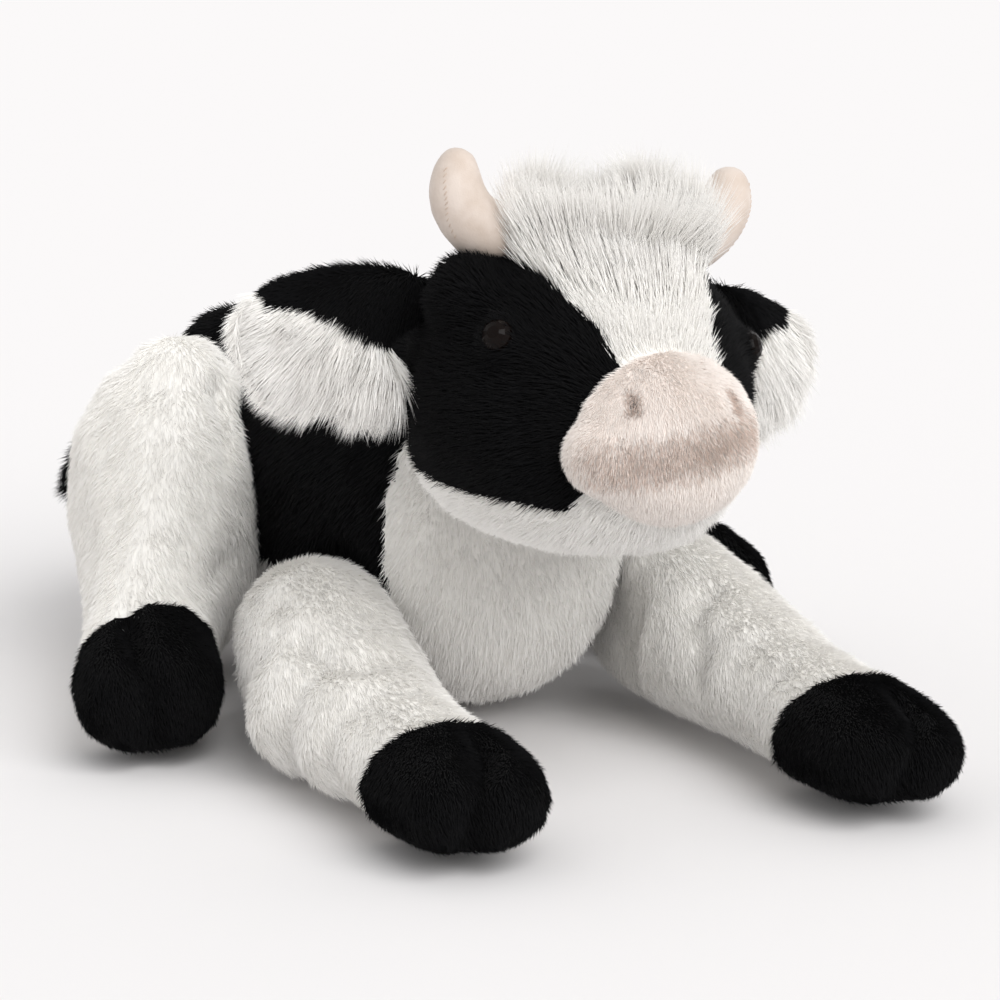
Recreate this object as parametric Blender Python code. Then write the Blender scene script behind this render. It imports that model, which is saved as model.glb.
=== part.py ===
"""Stuffed plush cow lying on its belly with its forelegs stretched out in front.

The cow faces -Y, its left side is +X and it lies on the plane z = 0. Every soft form is a loft of
oval rings with one level of subdivision. The cloth pieces are thin shells, cut from those forms
along their seams, and the fibre filling is the same form drawn in by the cloth and a clearance.
"""

import math

import bmesh
import bpy
from mathutils import Matrix, Vector

MM = 0.001

# Cloth, seams and how far a cutter reaches past the toy
CLOTH = 3.0 * MM
HORN_CLOTH = 1.4 * MM
SEAM_GAP = 0.3 * MM
FILLING_GAP = 1.0 * MM
CUTTER_REACH = 400.0 * MM

# Body, a barrel along Y whose underside is flat where it lies
BODY_LENGTH = 290.0 * MM
BODY_WIDTH = 152.0 * MM
BODY_HEIGHT = 175.0 * MM
BODY_REAR = 228.0 * MM
BODY_FRONT = BODY_REAR - BODY_LENGTH

# Neck seam, a plane square to the neck on which the head twists
NECK_SETBACK = 16.0 * MM
NECK_DROP = 37.0 * MM
NECK_SEAM_Y = BODY_FRONT + NECK_SETBACK
NECK_SEAM_HEIGHT = BODY_HEIGHT - NECK_DROP
NECK_RISE = math.radians(35.0)

# Head, in its own frame: width across, length from nape to brow, height from jaw to crown
HEAD_WIDTH = 144.0 * MM
HEAD_LENGTH = 148.0 * MM
HEAD_HEIGHT = 126.0 * MM
HEAD_REACH = 66.0 * MM
HEAD_LIFT = 34.0 * MM
HEAD_Y = NECK_SEAM_Y - HEAD_REACH
HEAD_RISE = NECK_SEAM_HEIGHT + HEAD_LIFT
HEAD_YAW = math.radians(4.0)
HEAD_ROLL = math.radians(8.0)

# Muzzle cushion on the front of the head
MUZZLE_WIDTH = 92.0 * MM
MUZZLE_LENGTH = 72.0 * MM
MUZZLE_HEIGHT = 79.0 * MM
MUZZLE_REACH = 52.0 * MM
MUZZLE_DROP = 7.0 * MM

# Forelock pad between the horns
FORELOCK_WIDTH = 92.0 * MM
FORELOCK_LENGTH = 72.0 * MM
FORELOCK_HEIGHT = 46.0 * MM
FORELOCK_RISE = 70.0 * MM

# Forelegs, each with a flat round seat of cloth where the shoulder meets the body
FORELEG_LENGTH = 244.0 * MM
FORELEG_WIDTH = 76.0 * MM
FORELEG_HEIGHT = 90.0 * MM
FORELEG_SPREAD = 92.0 * MM
FORELEG_SEAM = 60.0 * MM
FORELEG_STRETCH = 151.0 * MM
FORELEG_FRONT = BODY_FRONT - FORELEG_STRETCH
LEFT_FORELEG_REACH = 20.0 * MM
SHOULDER_SETBACK = 54.0 * MM
SHOULDER_Y = BODY_FRONT + SHOULDER_SETBACK
SHOULDER_HEIGHT = 46.0 * MM
SHOULDER_RADIUS = 45.0 * MM

# Hind legs, each with the same kind of seat at the hip
HIND_LEG_SETBACK = 38.0 * MM
THIGH_SETBACK = 34.0 * MM
HIND_LEG_FRONT = BODY_FRONT + HIND_LEG_SETBACK
HIND_LEG_LENGTH = BODY_REAR - THIGH_SETBACK - HIND_LEG_FRONT
THIGH_WIDTH = 104.0 * MM
THIGH_HEIGHT = 160.0 * MM
HIND_LEG_SPREAD = 88.0 * MM
RIGHT_HIND_HOOF_SPREAD = 157.0 * MM
LEFT_HIND_HOOF_SPREAD = 138.0 * MM
LEFT_HIND_LEG_REACH = -38.0 * MM
HIP_SEAM = 72.0 * MM
HIP_REAR = 108.0 * MM
HIP_Y = BODY_REAR - HIP_REAR
HIP_HEIGHT = 76.0 * MM
HIP_RADIUS = 74.0 * MM

# How far past a seat's rim the cloth of a leg is trimmed to the seat's plane
SEAT_TRIM = 7.0 * MM

# Ears
EAR_LENGTH = 90.0 * MM
EAR_HEIGHT = 64.0 * MM
EAR_THICKNESS = 24.0 * MM
EAR_ROOT_HEIGHT = 26.0 * MM
EAR_SPREAD = 70.0 * MM
EAR_Y = 44.0 * MM
EAR_RISE = 36.0 * MM
EAR_STANDOFF = 2.6 * MM
EAR_SWEEP = math.radians(12.0)
EAR_DROOP = math.radians(6.0)

# Horns
HORN_THICKNESS = 25.0 * MM
HORN_HEIGHT = 60.0 * MM
HORN_SPREAD = 50.0 * MM
HORN_FLARE = 17.0 * MM
HORN_Y = 18.0 * MM
HORN_RISE = 38.0 * MM

# Safety eyes
EYE_DIAMETER = 14.0 * MM
EYE_BULGE = 5.6 * MM
EYE_SHANK_DIAMETER = 4.0 * MM
EYE_SHANK_LENGTH = 13.0 * MM
EYE_WASHER_DIAMETER = 17.0 * MM
EYE_WASHER_THICKNESS = 1.6 * MM
EYE_WASHER_DEPTH = 5.0 * MM
EYE_SPREAD = 58.0 * MM
EYE_Y = -20.0 * MM
EYE_RISE = 25.0 * MM

# Tail
TAIL_ROOT_DEPTH = 12.0 * MM
TAIL_ROOT_DROP = 57.0 * MM
TAIL_ROOT_Y = BODY_REAR - TAIL_ROOT_DEPTH
TAIL_ROOT_HEIGHT = BODY_HEIGHT - TAIL_ROOT_DROP
TAIL_THICKNESS = 15.0 * MM
TAIL_LENGTH = 80.0 * MM
TUFT_LENGTH = 50.0 * MM
TUFT_THICKNESS = 24.0 * MM
TUFT_SEAT = 1.9 * MM

# Seams of the body cloth, seen from the side
BIB_DEPTH = 34.0 * MM
RUMP_DEPTH = 24.0 * MM
SADDLE_DROP = 115.0 * MM
BIB_SEAM_Y = BODY_FRONT + BIB_DEPTH
RUMP_SEAM_Y = BODY_REAR - RUMP_DEPTH
SADDLE_HEM = BODY_HEIGHT - SADDLE_DROP

# Seams of the head cloth, in the head's frame
BLAZE_WIDTH = 82.0 * MM
BLAZE_BACK = 26.0 * MM
JAW_SEAM_DROP = 42.0 * MM

# Counts
BODY_SIDES = 10
HEAD_SIDES = 10
LIMB_SIDES = 6
MUZZLE_SIDES = 8
SMALL_SIDES = 6
TURNED_STEPS = 12
PIVOT_STEPS = 28
EYE_DOME_STEPS = 4

# Rings of the body: distance from the rear over its length, half width over half its width,
# centre over its height and half height over half its height
BODY_SHARES = (
    (0.000, 0.38, 0.500, 0.40),
    (0.070, 0.82, 0.505, 0.85),
    (0.220, 1.02, 0.508, 1.03),
    (0.480, 1.02, 0.508, 1.03),
    (0.720, 0.98, 0.503, 1.02),
    (0.880, 0.88, 0.520, 0.94),
    (0.965, 0.64, 0.550, 0.69),
    (1.000, 0.35, 0.570, 0.39),
)

# Rings of the head: distance from the nape over its length, half width over half its width,
# centre over its height and half height over half its height
HEAD_SHARES = (
    (0.000, 0.40, -0.08, 0.42),
    (0.080, 0.78, -0.06, 0.80),
    (0.280, 1.00, -0.01, 1.01),
    (0.520, 1.02, 0.00, 1.03),
    (0.740, 0.84, -0.05, 0.88),
    (0.900, 0.56, -0.09, 0.60),
    (1.000, 0.28, -0.11, 0.30),
)

# Rings of the muzzle, with the same columns
MUZZLE_SHARES = (
    (0.00, 0.80, 0.00, 0.78),
    (0.30, 1.00, 0.00, 1.00),
    (0.62, 1.02, 0.00, 1.02),
    (0.88, 0.76, -0.02, 0.74),
    (1.00, 0.40, -0.02, 0.38),
)

# Rings of the forelock pad, with the same columns
FORELOCK_SHARES = (
    (0.00, 0.42, -0.16, 0.36),
    (0.18, 0.86, -0.04, 0.80),
    (0.50, 1.04, 0.04, 1.04),
    (0.82, 0.86, -0.10, 0.82),
    (1.00, 0.44, -0.28, 0.42),
)

# Rings of a foreleg: distance from its rear over its length, outward shift over its width, half
# width over half its width, centre over its height, half height over half its height, and cleft
FORELEG_SHARES = (
    (0.000, -0.12, 0.48, 0.56, 0.42, 0.00),
    (0.070, -0.14, 1.02, 0.55, 0.86, 0.00),
    (0.220, -0.13, 1.24, 0.53, 1.06, 0.00),
    (0.400, -0.03, 1.06, 0.42, 0.84, 0.00),
    (0.600, 0.00, 0.90, 0.34, 0.68, 0.00),
    (0.780, 0.00, 1.00, 0.33, 0.68, 0.08),
    (0.940, 0.00, 0.96, 0.32, 0.64, 0.26),
    (1.000, 0.00, 0.56, 0.31, 0.38, 0.30),
)
FORE_ANKLE_SHARE = 0.74
FORE_ANKLE_LEAN = math.radians(18.0)

# Rings of a hind leg: distance from its rear over its length, outward shift from the thigh to
# the hoof, half width, centre height and half height over the thigh's, tilt in degrees, cleft
HIND_LEG_SHARES = (
    (0.000, 0.00, 0.42, 0.52, 0.44, 0.0, 0.00),
    (0.070, 0.02, 0.86, 0.51, 0.87, 0.0, 0.00),
    (0.260, 0.04, 1.03, 0.503, 1.02, 4.0, 0.00),
    (0.470, 0.24, 0.92, 0.40, 0.86, 22.0, 0.00),
    (0.660, 0.72, 0.64, 0.25, 0.52, 20.0, 0.00),
    (0.810, 0.98, 0.66, 0.21, 0.44, 2.0, 0.06),
    (0.950, 1.02, 0.62, 0.20, 0.42, 0.0, 0.26),
    (1.000, 1.02, 0.36, 0.19, 0.24, 0.0, 0.28),
)
HIND_ANKLE_SHARE = 0.78
HIND_ANKLE_LEAN = math.radians(6.0)

# Rings of an ear's root: distance from the pivot and half height over the root's radius, and
# half thickness over half the ear's thickness
EAR_ROOT_SHARES = (
    (-0.80, 0.40, 0.30),
    (0.00, 0.90, 0.50),
)
EAR_SOCKET_SHARE = 0.62

# Rings of an ear: distance from the pivot over its length, drop below the pivot over its height,
# half height and half thickness over half the ear's own
EAR_SHARES = (
    (0.15, 0.02, 0.52, 0.54),
    (0.32, 0.15, 0.86, 0.84),
    (0.56, 0.28, 1.06, 1.04),
    (0.84, 0.24, 0.76, 0.76),
    (1.00, 0.18, 0.30, 0.32),
)

# Seam of an ear's lining across its section: height at the front and at the back over the
# ear's, and how far it tilts up towards the tip
EAR_LINING_SHARES = (0.02, -0.88)
EAR_LINING_TILT = math.radians(24.0)

# Rings of a horn: outward flare, rise and thickness
HORN_SHARES = (
    (-1.50, 0.36, 1.05),
    (-0.60, 0.40, 1.18),
    (0.30, 0.45, 1.14),
    (0.90, 0.62, 1.06),
    (1.06, 0.80, 0.92),
    (1.00, 0.95, 0.62),
    (0.96, 1.00, 0.30),
)

# Course of the tail from its root, over its length: to the right, to the rear and down
TAIL_SHARES = (
    (0.00, 0.00, 0.00),
    (0.00, 0.18, 0.00),
    (0.20, 0.30, 0.04),
    (0.50, 0.31, 0.10),
    (0.78, 0.24, 0.18),
    (0.96, 0.14, 0.26),
)

# Course and girth of the tail's tuft, over its length and thickness
TUFT_SHARES = (
    (0.00, 0.00, 0.00, 0.62),
    (0.26, -0.10, 0.10, 1.02),
    (0.60, -0.32, 0.28, 0.92),
    (0.92, -0.60, 0.50, 0.30),
)

# Blaze outline: height over the head's height and half width over half the blaze's width
BLAZE_SHARES = (
    (0.75, 1.16),
    (0.47, 1.10),
    (0.38, 0.90),
    (0.28, 0.68),
    (0.16, 0.61),
    (-0.08, 0.61),
)

# How much fuller than an oval a ring is at its corners, and how wide the cleft of a hoof is
BODY_FULLNESS_SHARE = 0.06
HEAD_FULLNESS_SHARE = 0.20
THIGH_FULLNESS_SHARE = 0.12
CLEFT_BREADTH_SHARE = 0.30

# One level of subdivision leaves a cage's corner with this share of its own place
CORNER_SHARE = 0.75


def clear_scene():
    """Remove every object that the scene holds."""
    for old in list(bpy.data.objects):
        bpy.data.objects.remove(old, do_unlink=True)


def cloth_material(name, colour, roughness=0.95):
    """Return a plain Principled material with one colour."""
    made = bpy.data.materials.new(name)
    made.use_nodes = True
    shader = made.node_tree.nodes["Principled BSDF"]
    shader.inputs["Base Color"].default_value = (*colour, 1.0)
    shader.inputs["Roughness"].default_value = roughness
    shader.inputs["Metallic"].default_value = 0.0
    return made


def add_joint(name, place, base):
    """Add an empty at a joint's pivot, under the toy's own frame."""
    made = bpy.data.objects.new(name, None)
    made.empty_display_size = EYE_DIAMETER
    made.parent = base
    made.location = place
    bpy.context.scene.collection.objects.link(made)
    bpy.context.view_layer.update()
    return made


def add_object(name, mesh, parent, frame=Matrix()):
    """Link a mesh as an object placed by a frame and carried by its parent."""
    made = bpy.data.objects.new(name, mesh)
    bpy.context.scene.collection.objects.link(made)
    made.parent = parent
    made.matrix_parent_inverse = parent.matrix_world.inverted()
    made.matrix_basis = frame
    return made


def as_cutter(made):
    """Show a cutter as a wire and keep it out of the finished toy."""
    made.hide_render = True
    made.display_type = "WIRE"
    return made


def finish_mesh(name, made_bm):
    """Turn a bmesh into a smooth shaded mesh with its faces outward."""
    bmesh.ops.recalc_face_normals(made_bm, faces=made_bm.faces)
    mesh = bpy.data.meshes.new(name)
    made_bm.to_mesh(mesh)
    made_bm.free()
    mesh.shade_smooth()
    return mesh


def shaped(point, fullness, cleft):
    """Shape a unit circle: fuller at its corners, and parted into two lobes by a cleft."""
    corner = 1.0 + fullness * (2.0 * point.x * point.y) ** 2
    waist = 1.0 - cleft * math.exp(-((point.x / CLEFT_BREADTH_SHARE) ** 2))
    return Vector((point.x * corner, point.y * corner * waist, 0.0))


def loft(name, rings, sides, fullness=0.0):
    """Bridge rings, each a centre, two half axes and a cleft, into one closed cage.

    The cage is drawn out so that the form has the rings' own sizes after it is rounded.
    """
    made_bm = bmesh.new()
    loops = []
    drawn_in = CORNER_SHARE + (1.0 - CORNER_SHARE) * math.cos(math.tau / sides)
    for centre, across, upward, cleft in rings:
        circle = bmesh.ops.create_circle(made_bm, segments=sides, radius=1.0)
        for vert in circle["verts"]:
            point = shaped(vert.co, fullness, cleft) / drawn_in
            vert.co = centre + across * point.x + upward * point.y
        loops.append(list({edge for vert in circle["verts"] for edge in vert.link_edges}))
    for first, second in zip(loops, loops[1:]):
        bmesh.ops.bridge_loops(made_bm, edges=first + second)
    for end in (loops[0], loops[-1]):
        bmesh.ops.contextual_create(made_bm, geom=end)
    return finish_mesh(name, made_bm)


def turned(name, profile, closed):
    """Spin a profile of radius and height points round Z."""
    made_bm = bmesh.new()
    verts = [made_bm.verts.new((radius, 0.0, height)) for radius, height in profile]
    pairs = list(zip(verts, verts[1:]))
    if closed:
        pairs.append((verts[-1], verts[0]))
    edges = [made_bm.edges.new(pair) for pair in pairs]
    bmesh.ops.spin(
        made_bm,
        geom=verts + edges,
        cent=(0.0, 0.0, 0.0),
        axis=(0.0, 0.0, 1.0),
        angle=math.tau,
        steps=TURNED_STEPS,
    )
    bmesh.ops.remove_doubles(made_bm, verts=made_bm.verts, dist=SEAM_GAP / TURNED_STEPS)
    return finish_mesh(name, made_bm)


def box_cutter(name, low, high, parent, frame=Matrix()):
    """Add a box between two corners as a cutter."""
    made_bm = bmesh.new()
    bmesh.ops.create_cube(made_bm, size=1.0)
    size = Vector(high) - Vector(low)
    middle = (Vector(high) + Vector(low)) / 2.0
    bmesh.ops.scale(made_bm, vec=size, verts=made_bm.verts)
    bmesh.ops.translate(made_bm, vec=middle, verts=made_bm.verts)
    return as_cutter(add_object(name, finish_mesh(name, made_bm), parent, frame))


def rod_cutter(name, start, end, radius, parent, frame=Matrix(), steps=PIVOT_STEPS):
    """Add a round rod between two points as a cutter."""
    start = Vector(start)
    end = Vector(end)
    axis = end - start
    made_bm = bmesh.new()
    turn = axis.to_track_quat("Z", "Y").to_matrix().to_4x4()
    bmesh.ops.create_cone(
        made_bm,
        cap_ends=True,
        segments=steps,
        radius1=radius,
        radius2=radius,
        depth=axis.length,
        matrix=Matrix.Translation((start + end) / 2.0) @ turn,
    )
    return as_cutter(add_object(name, finish_mesh(name, made_bm), parent, frame))


def prism_cutter(name, outline, start, stretch, parent, frame=Matrix()):
    """Add a prism: an outline of points, set at a start and drawn along a stretch."""
    made_bm = bmesh.new()
    verts = [made_bm.verts.new(Vector(point) + Vector(start)) for point in outline]
    face = made_bm.faces.new(verts)
    grown = bmesh.ops.extrude_face_region(made_bm, geom=[face])
    moved = [item for item in grown["geom"] if isinstance(item, bmesh.types.BMVert)]
    bmesh.ops.translate(made_bm, vec=Vector(stretch), verts=moved)
    return as_cutter(add_object(name, finish_mesh(name, made_bm), parent, frame))


def soften(made):
    """Round a form's cage with one level of subdivision."""
    smooth = made.modifiers.new("Rounding", "SUBSURF")
    smooth.levels = 1
    smooth.render_levels = 1


def swell(made, distance):
    """Move a form's surface outward, or inward where the distance is negative."""
    moved = made.modifiers.new("Offset", "DISPLACE")
    moved.strength = distance
    moved.mid_level = 0.0


def cut(made, cutters, operation="DIFFERENCE"):
    """Cut a piece with each cutter in turn."""
    for cutter in cutters:
        knife = made.modifiers.new(cutter.name, "BOOLEAN")
        knife.operation = operation
        knife.solver = "EXACT"
        knife.object = cutter


def form_cutter(name, cage, distance, parent, frame=Matrix()):
    """Add a whole form as a cutter, grown or drawn in by a distance."""
    made = as_cutter(add_object(name, cage, parent, frame))
    soften(made)
    swell(made, distance)
    return made


def dress(made, surface):
    """Give one object its material, though it shares its mesh."""
    if not made.data.materials:
        made.data.materials.append(None)
    made.material_slots[0].link = "OBJECT"
    made.material_slots[0].material = surface


def hollow(made, cage, parent, frame=Matrix(), thickness=CLOTH):
    """Turn a form that is already cut along its seams into a cloth piece of even thickness."""
    cut(made, [form_cutter(made.name + "_inside", cage, -thickness, parent, frame)])


def filling(name, cage, surface, parent, frame=Matrix(), thickness=CLOTH):
    """Add a fibre filling: a form drawn in by its cloth and a clearance."""
    made = add_object(name, cage, parent, frame)
    soften(made)
    swell(made, -(thickness + FILLING_GAP))
    dress(made, surface)
    return made


def solid(name, cage, surface, parent, frame=Matrix()):
    """Add a form that is one solid piece."""
    made = add_object(name, cage, parent, frame)
    soften(made)
    dress(made, surface)
    return made


def barrel_rings(shares, rear, length, width, height, base):
    """Rings square to Y, from a table of shares of a form's length, width and height."""
    rings = []
    for along, half_width, centre, half_height in shares:
        middle = Vector((0.0, rear - along * length, base + centre * height))
        across = Vector((half_width * width / 2.0, 0.0, 0.0))
        upward = Vector((0.0, 0.0, half_height * height / 2.0))
        rings.append((middle, across, upward, 0.0))
    return rings


def foreleg_rings(side, length):
    """Rings of a foreleg, from the rear of the shoulder to the tip of the hoof."""
    rear = FORELEG_FRONT + FORELEG_LENGTH
    rings = []
    for along, outward, half_width, centre, half_height, cleft in FORELEG_SHARES:
        middle = Vector((
            side * (FORELEG_SPREAD + outward * FORELEG_WIDTH),
            rear - along * length,
            centre * FORELEG_HEIGHT,
        ))
        across = Vector((half_width * FORELEG_WIDTH / 2.0, 0.0, 0.0))
        upward = Vector((0.0, 0.0, half_height * FORELEG_HEIGHT / 2.0))
        rings.append((middle, across, upward, cleft))
    return rings


def hind_leg_rings(side, length, hoof_spread):
    """Rings of a hind leg, from the rear of the thigh down to the tip of the hoof."""
    rear = HIND_LEG_FRONT + HIND_LEG_LENGTH
    shift = hoof_spread - HIND_LEG_SPREAD
    rings = []
    for along, outward, half_width, centre, half_height, tilt, cleft in HIND_LEG_SHARES:
        lean = math.radians(tilt)
        middle = Vector((
            side * (HIND_LEG_SPREAD + outward * shift),
            rear - along * length,
            centre * THIGH_HEIGHT,
        ))
        across = Vector((half_width * THIGH_WIDTH / 2.0, 0.0, 0.0))
        half = half_height * THIGH_HEIGHT / 2.0
        upward = Vector((0.0, -math.sin(lean), math.cos(lean))) * half
        rings.append((middle, across, upward, cleft))
    return rings


def ear_rings():
    """Rings of an ear in its own frame: Z leads from the root to the tip, Y is its height."""
    root = EAR_ROOT_HEIGHT / 2.0
    thick = EAR_THICKNESS / 2.0
    rings = []
    for along, half_height, half_thickness in EAR_ROOT_SHARES:
        middle = Vector((0.0, 0.0, along * root))
        across = Vector((half_thickness * thick, 0.0, 0.0))
        rings.append((middle, across, Vector((0.0, half_height * root, 0.0)), 0.0))
    for along, drop, half_height, half_thickness in EAR_SHARES:
        middle = Vector((0.0, -drop * EAR_HEIGHT, along * EAR_LENGTH))
        across = Vector((half_thickness * thick, 0.0, 0.0))
        upward = Vector((0.0, half_height * EAR_HEIGHT / 2.0, 0.0))
        rings.append((middle, across, upward, 0.0))
    return rings


def spine_rings(points, radii, reference):
    """Round rings square to a course of points, turned by a reference direction."""
    rings = []
    for index, point in enumerate(points):
        before = points[max(index - 1, 0)]
        after = points[min(index + 1, len(points) - 1)]
        course = (after - before).normalized()
        across = course.cross(reference).normalized()
        upward = across.cross(course).normalized()
        rings.append((point, across * radii[index], upward * radii[index], 0.0))
    return rings


def horn_rings(side):
    """Rings of a horn in the head's frame, from inside the crown up to its tip."""
    points = [
        Vector((
            side * (HORN_SPREAD + flare * HORN_FLARE),
            HORN_Y,
            HORN_RISE + rise * HORN_HEIGHT,
        ))
        for flare, rise, _ in HORN_SHARES
    ]
    radii = [thick * HORN_THICKNESS / 2.0 for _, _, thick in HORN_SHARES]
    return spine_rings(points, radii, Vector((0.0, 1.0, 0.0)))


def tail_points():
    """Course of the tail: straight out of the rump and then round to the cow's right."""
    root = Vector((0.0, TAIL_ROOT_Y, TAIL_ROOT_HEIGHT))
    return [
        root + Vector((-right, rear, -down)) * TAIL_LENGTH
        for right, rear, down in TAIL_SHARES
    ]


def tail_rings():
    """Rings of the tail, whose root is a straight stub along Y."""
    points = tail_points()
    radius = TAIL_THICKNESS / 2.0
    root = points[0]
    rings = spine_rings(points, [radius] * len(points), Vector((0.0, 0.0, 1.0)))
    across = Vector((radius, 0.0, 0.0))
    upward = Vector((0.0, 0.0, radius))
    rings[0] = (root, across, upward, 0.0)
    inner = root - Vector((0.0, radius, 0.0))
    return [(inner, across, upward, 0.0)] + rings


def tuft_rings():
    """Rings of the tuft, which carries on where the tail ends."""
    points = tail_points()
    course = (points[-1] - points[-2]).normalized()
    start = points[-1] - course * TUFT_SEAT
    places = [
        start + Vector((-right, rear, -down)) * TUFT_LENGTH
        for right, rear, down, _ in TUFT_SHARES
    ]
    radii = [girth * TUFT_THICKNESS / 2.0 for _, _, _, girth in TUFT_SHARES]
    return spine_rings(places, radii, Vector((0.0, 0.0, 1.0)))


def beyond(name, place, direction, parent, frame=Matrix()):
    """Add a cutter that takes everything beyond a plane through a place."""
    reach = CUTTER_REACH
    turn = Vector(direction).to_track_quat("Z", "Y").to_matrix().to_4x4()
    local = frame @ Matrix.Translation(Vector(place)) @ turn
    return box_cutter(name, (-reach, -reach, 0.0), (reach, reach, reach), parent, local)


def wall_of(name, region, parent, frame=Matrix()):
    """Add the seam that runs round a region, as a thin wall on its surface."""
    made = as_cutter(add_object(name, region.data, parent, frame))
    wall = made.modifiers.new("Seam width", "SOLIDIFY")
    wall.thickness = SEAM_GAP
    wall.offset = 0.0
    wall.use_even_offset = True
    return made


def surface_point(form, toward):
    """Return where a ray from a form's own centre leaves its surface, and the normal there."""
    bpy.context.view_layer.update()
    graph = bpy.context.evaluated_depsgraph_get()
    shape = form.evaluated_get(graph)
    direction = Vector(toward).normalized()
    hit, place, normal, _ = shape.ray_cast(direction * CUTTER_REACH, -direction)
    if not hit:
        raise ValueError("no surface towards " + str(tuple(toward)))
    return place, normal


def facing(place, normal):
    """Return a frame at a place whose Z is a surface's normal."""
    turn = normal.to_track_quat("Z", "Y").to_matrix().to_4x4()
    return Matrix.Translation(place) @ turn


def side_name(side):
    """Name a side of the cow."""
    return "_right" if side < 0.0 else "_left"


def seat(name, side, place, outward, radius, parent):
    """Add the round cutter of a leg's seat, from its plane outward, or inward if negative."""
    start = Vector((side * place[0], place[1], place[2]))
    end = start + Vector((side * outward, 0.0, 0.0))
    return rod_cutter(name + side_name(side), start, end, radius, parent)


def tail_socket(base):
    """Add the round hole in which the tail's root turns."""
    radius = TAIL_THICKNESS / 2.0
    root = Vector((0.0, TAIL_ROOT_Y, TAIL_ROOT_HEIGHT))
    start = root - Vector((0.0, radius + SEAM_GAP, 0.0))
    end = root + Vector((0.0, TAIL_LENGTH, 0.0))
    return rod_cutter("tail_socket", start, end, radius + SEAM_GAP, base)


def neck_plane():
    """Return a point on the neck seam and the way the neck points."""
    rise = Vector((0.0, -math.cos(NECK_RISE), math.sin(NECK_RISE)))
    return Vector((0.0, NECK_SEAM_Y, NECK_SEAM_HEIGHT)), rise


def build_body(base, surfaces):
    """Build the body's five cloth panels and its filling."""
    rings = barrel_rings(BODY_SHARES, BODY_REAR, BODY_LENGTH, BODY_WIDTH, BODY_HEIGHT, 0.0)
    cage = loft("body_cage", rings, BODY_SIDES, BODY_FULLNESS_SHARE)
    neck, rise = neck_plane()
    common = [
        beyond("floor_cut", (0.0, 0.0, 0.0), (0.0, 0.0, -1.0), base),
        beyond("neck_cut", neck, rise, base),
        tail_socket(base),
    ]
    shoulder = (FORELEG_SEAM, SHOULDER_Y, SHOULDER_HEIGHT)
    hip = (HIP_SEAM, HIP_Y, HIP_HEIGHT)
    for side in (-1.0, 1.0):
        common.append(seat("shoulder_seat", side, shoulder, BODY_WIDTH, SHOULDER_RADIUS, base))
        common.append(seat("hip_seat", side, hip, BODY_WIDTH, HIP_RADIUS, base))
    half = SEAM_GAP / 2.0
    front = beyond("bib_front", (0.0, BIB_SEAM_Y + half, 0.0), (0.0, -1.0, 0.0), base)
    behind_bib = beyond("bib_rear", (0.0, BIB_SEAM_Y - half, 0.0), (0.0, 1.0, 0.0), base)
    before_rump = beyond("rump_front", (0.0, RUMP_SEAM_Y + half, 0.0), (0.0, -1.0, 0.0), base)
    rear = beyond("rump_rear", (0.0, RUMP_SEAM_Y - half, 0.0), (0.0, 1.0, 0.0), base)
    above_hem = beyond("hem_top", (0.0, 0.0, SADDLE_HEM - half), (0.0, 0.0, 1.0), base)
    below_hem = beyond("hem_bottom", (0.0, 0.0, SADDLE_HEM + half), (0.0, 0.0, -1.0), base)
    left_half = beyond("body_left_half", (-half, 0.0, 0.0), (1.0, 0.0, 0.0), base)
    right_half = beyond("body_right_half", (half, 0.0, 0.0), (-1.0, 0.0, 0.0), base)
    panels = (
        ("body_chest_bib", "white", [behind_bib]),
        ("body_belly_panel", "white", [front, rear, above_hem]),
        ("body_rump_panel", "white", [before_rump]),
        ("body_saddle_right", "black", [left_half, front, rear, below_hem]),
        ("body_saddle_left", "black", [right_half, front, rear, below_hem]),
    )
    for name, colour, seams in panels:
        panel = solid(name, cage, surfaces[colour], base)
        cut(panel, seams + common)
        hollow(panel, cage, base)
    cut(filling("body_filling", cage, surfaces["fibre"], base), common)


def build_foreleg(side, joint, surfaces):
    """Build a foreleg: its sleeve, its hoof cover and its filling."""
    length = FORELEG_LENGTH + (LEFT_FORELEG_REACH if side > 0.0 else 0.0)
    rings = foreleg_rings(side, length)
    ankle = Vector((0.0, rings[0][0].y - FORE_ANKLE_SHARE * length, rings[-1][0].z))
    place = (FORELEG_SEAM + SEAM_GAP, SHOULDER_Y, SHOULDER_HEIGHT)
    inside = seat("foreleg_seat", side, place, -BODY_WIDTH, SHOULDER_RADIUS + SEAT_TRIM, joint)
    names = ("foreleg" + side_name(side), "fore_hoof" + side_name(side))
    cage = loft(names[0] + "_cage", rings, LIMB_SIDES)
    build_limb(names, cage, ankle, FORE_ANKLE_LEAN, inside, joint, surfaces)


def build_hind_leg(side, joint, surfaces):
    """Build a hind leg: its thigh and shank, its hoof cover and its filling."""
    length = HIND_LEG_LENGTH + (LEFT_HIND_LEG_REACH if side > 0.0 else 0.0)
    spread = LEFT_HIND_HOOF_SPREAD if side > 0.0 else RIGHT_HIND_HOOF_SPREAD
    rings = hind_leg_rings(side, length, spread)
    ankle = Vector((0.0, rings[0][0].y - HIND_ANKLE_SHARE * length, rings[-1][0].z))
    place = (HIP_SEAM + SEAM_GAP, HIP_Y, HIP_HEIGHT)
    inside = seat("hind_leg_seat", side, place, -BODY_WIDTH, HIP_RADIUS + SEAT_TRIM, joint)
    names = ("hind_leg" + side_name(side), "hind_hoof" + side_name(side))
    cage = loft(names[0] + "_cage", rings, LIMB_SIDES, THIGH_FULLNESS_SHARE)
    build_limb(names, cage, ankle, HIND_ANKLE_LEAN, inside, joint, surfaces)


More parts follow.
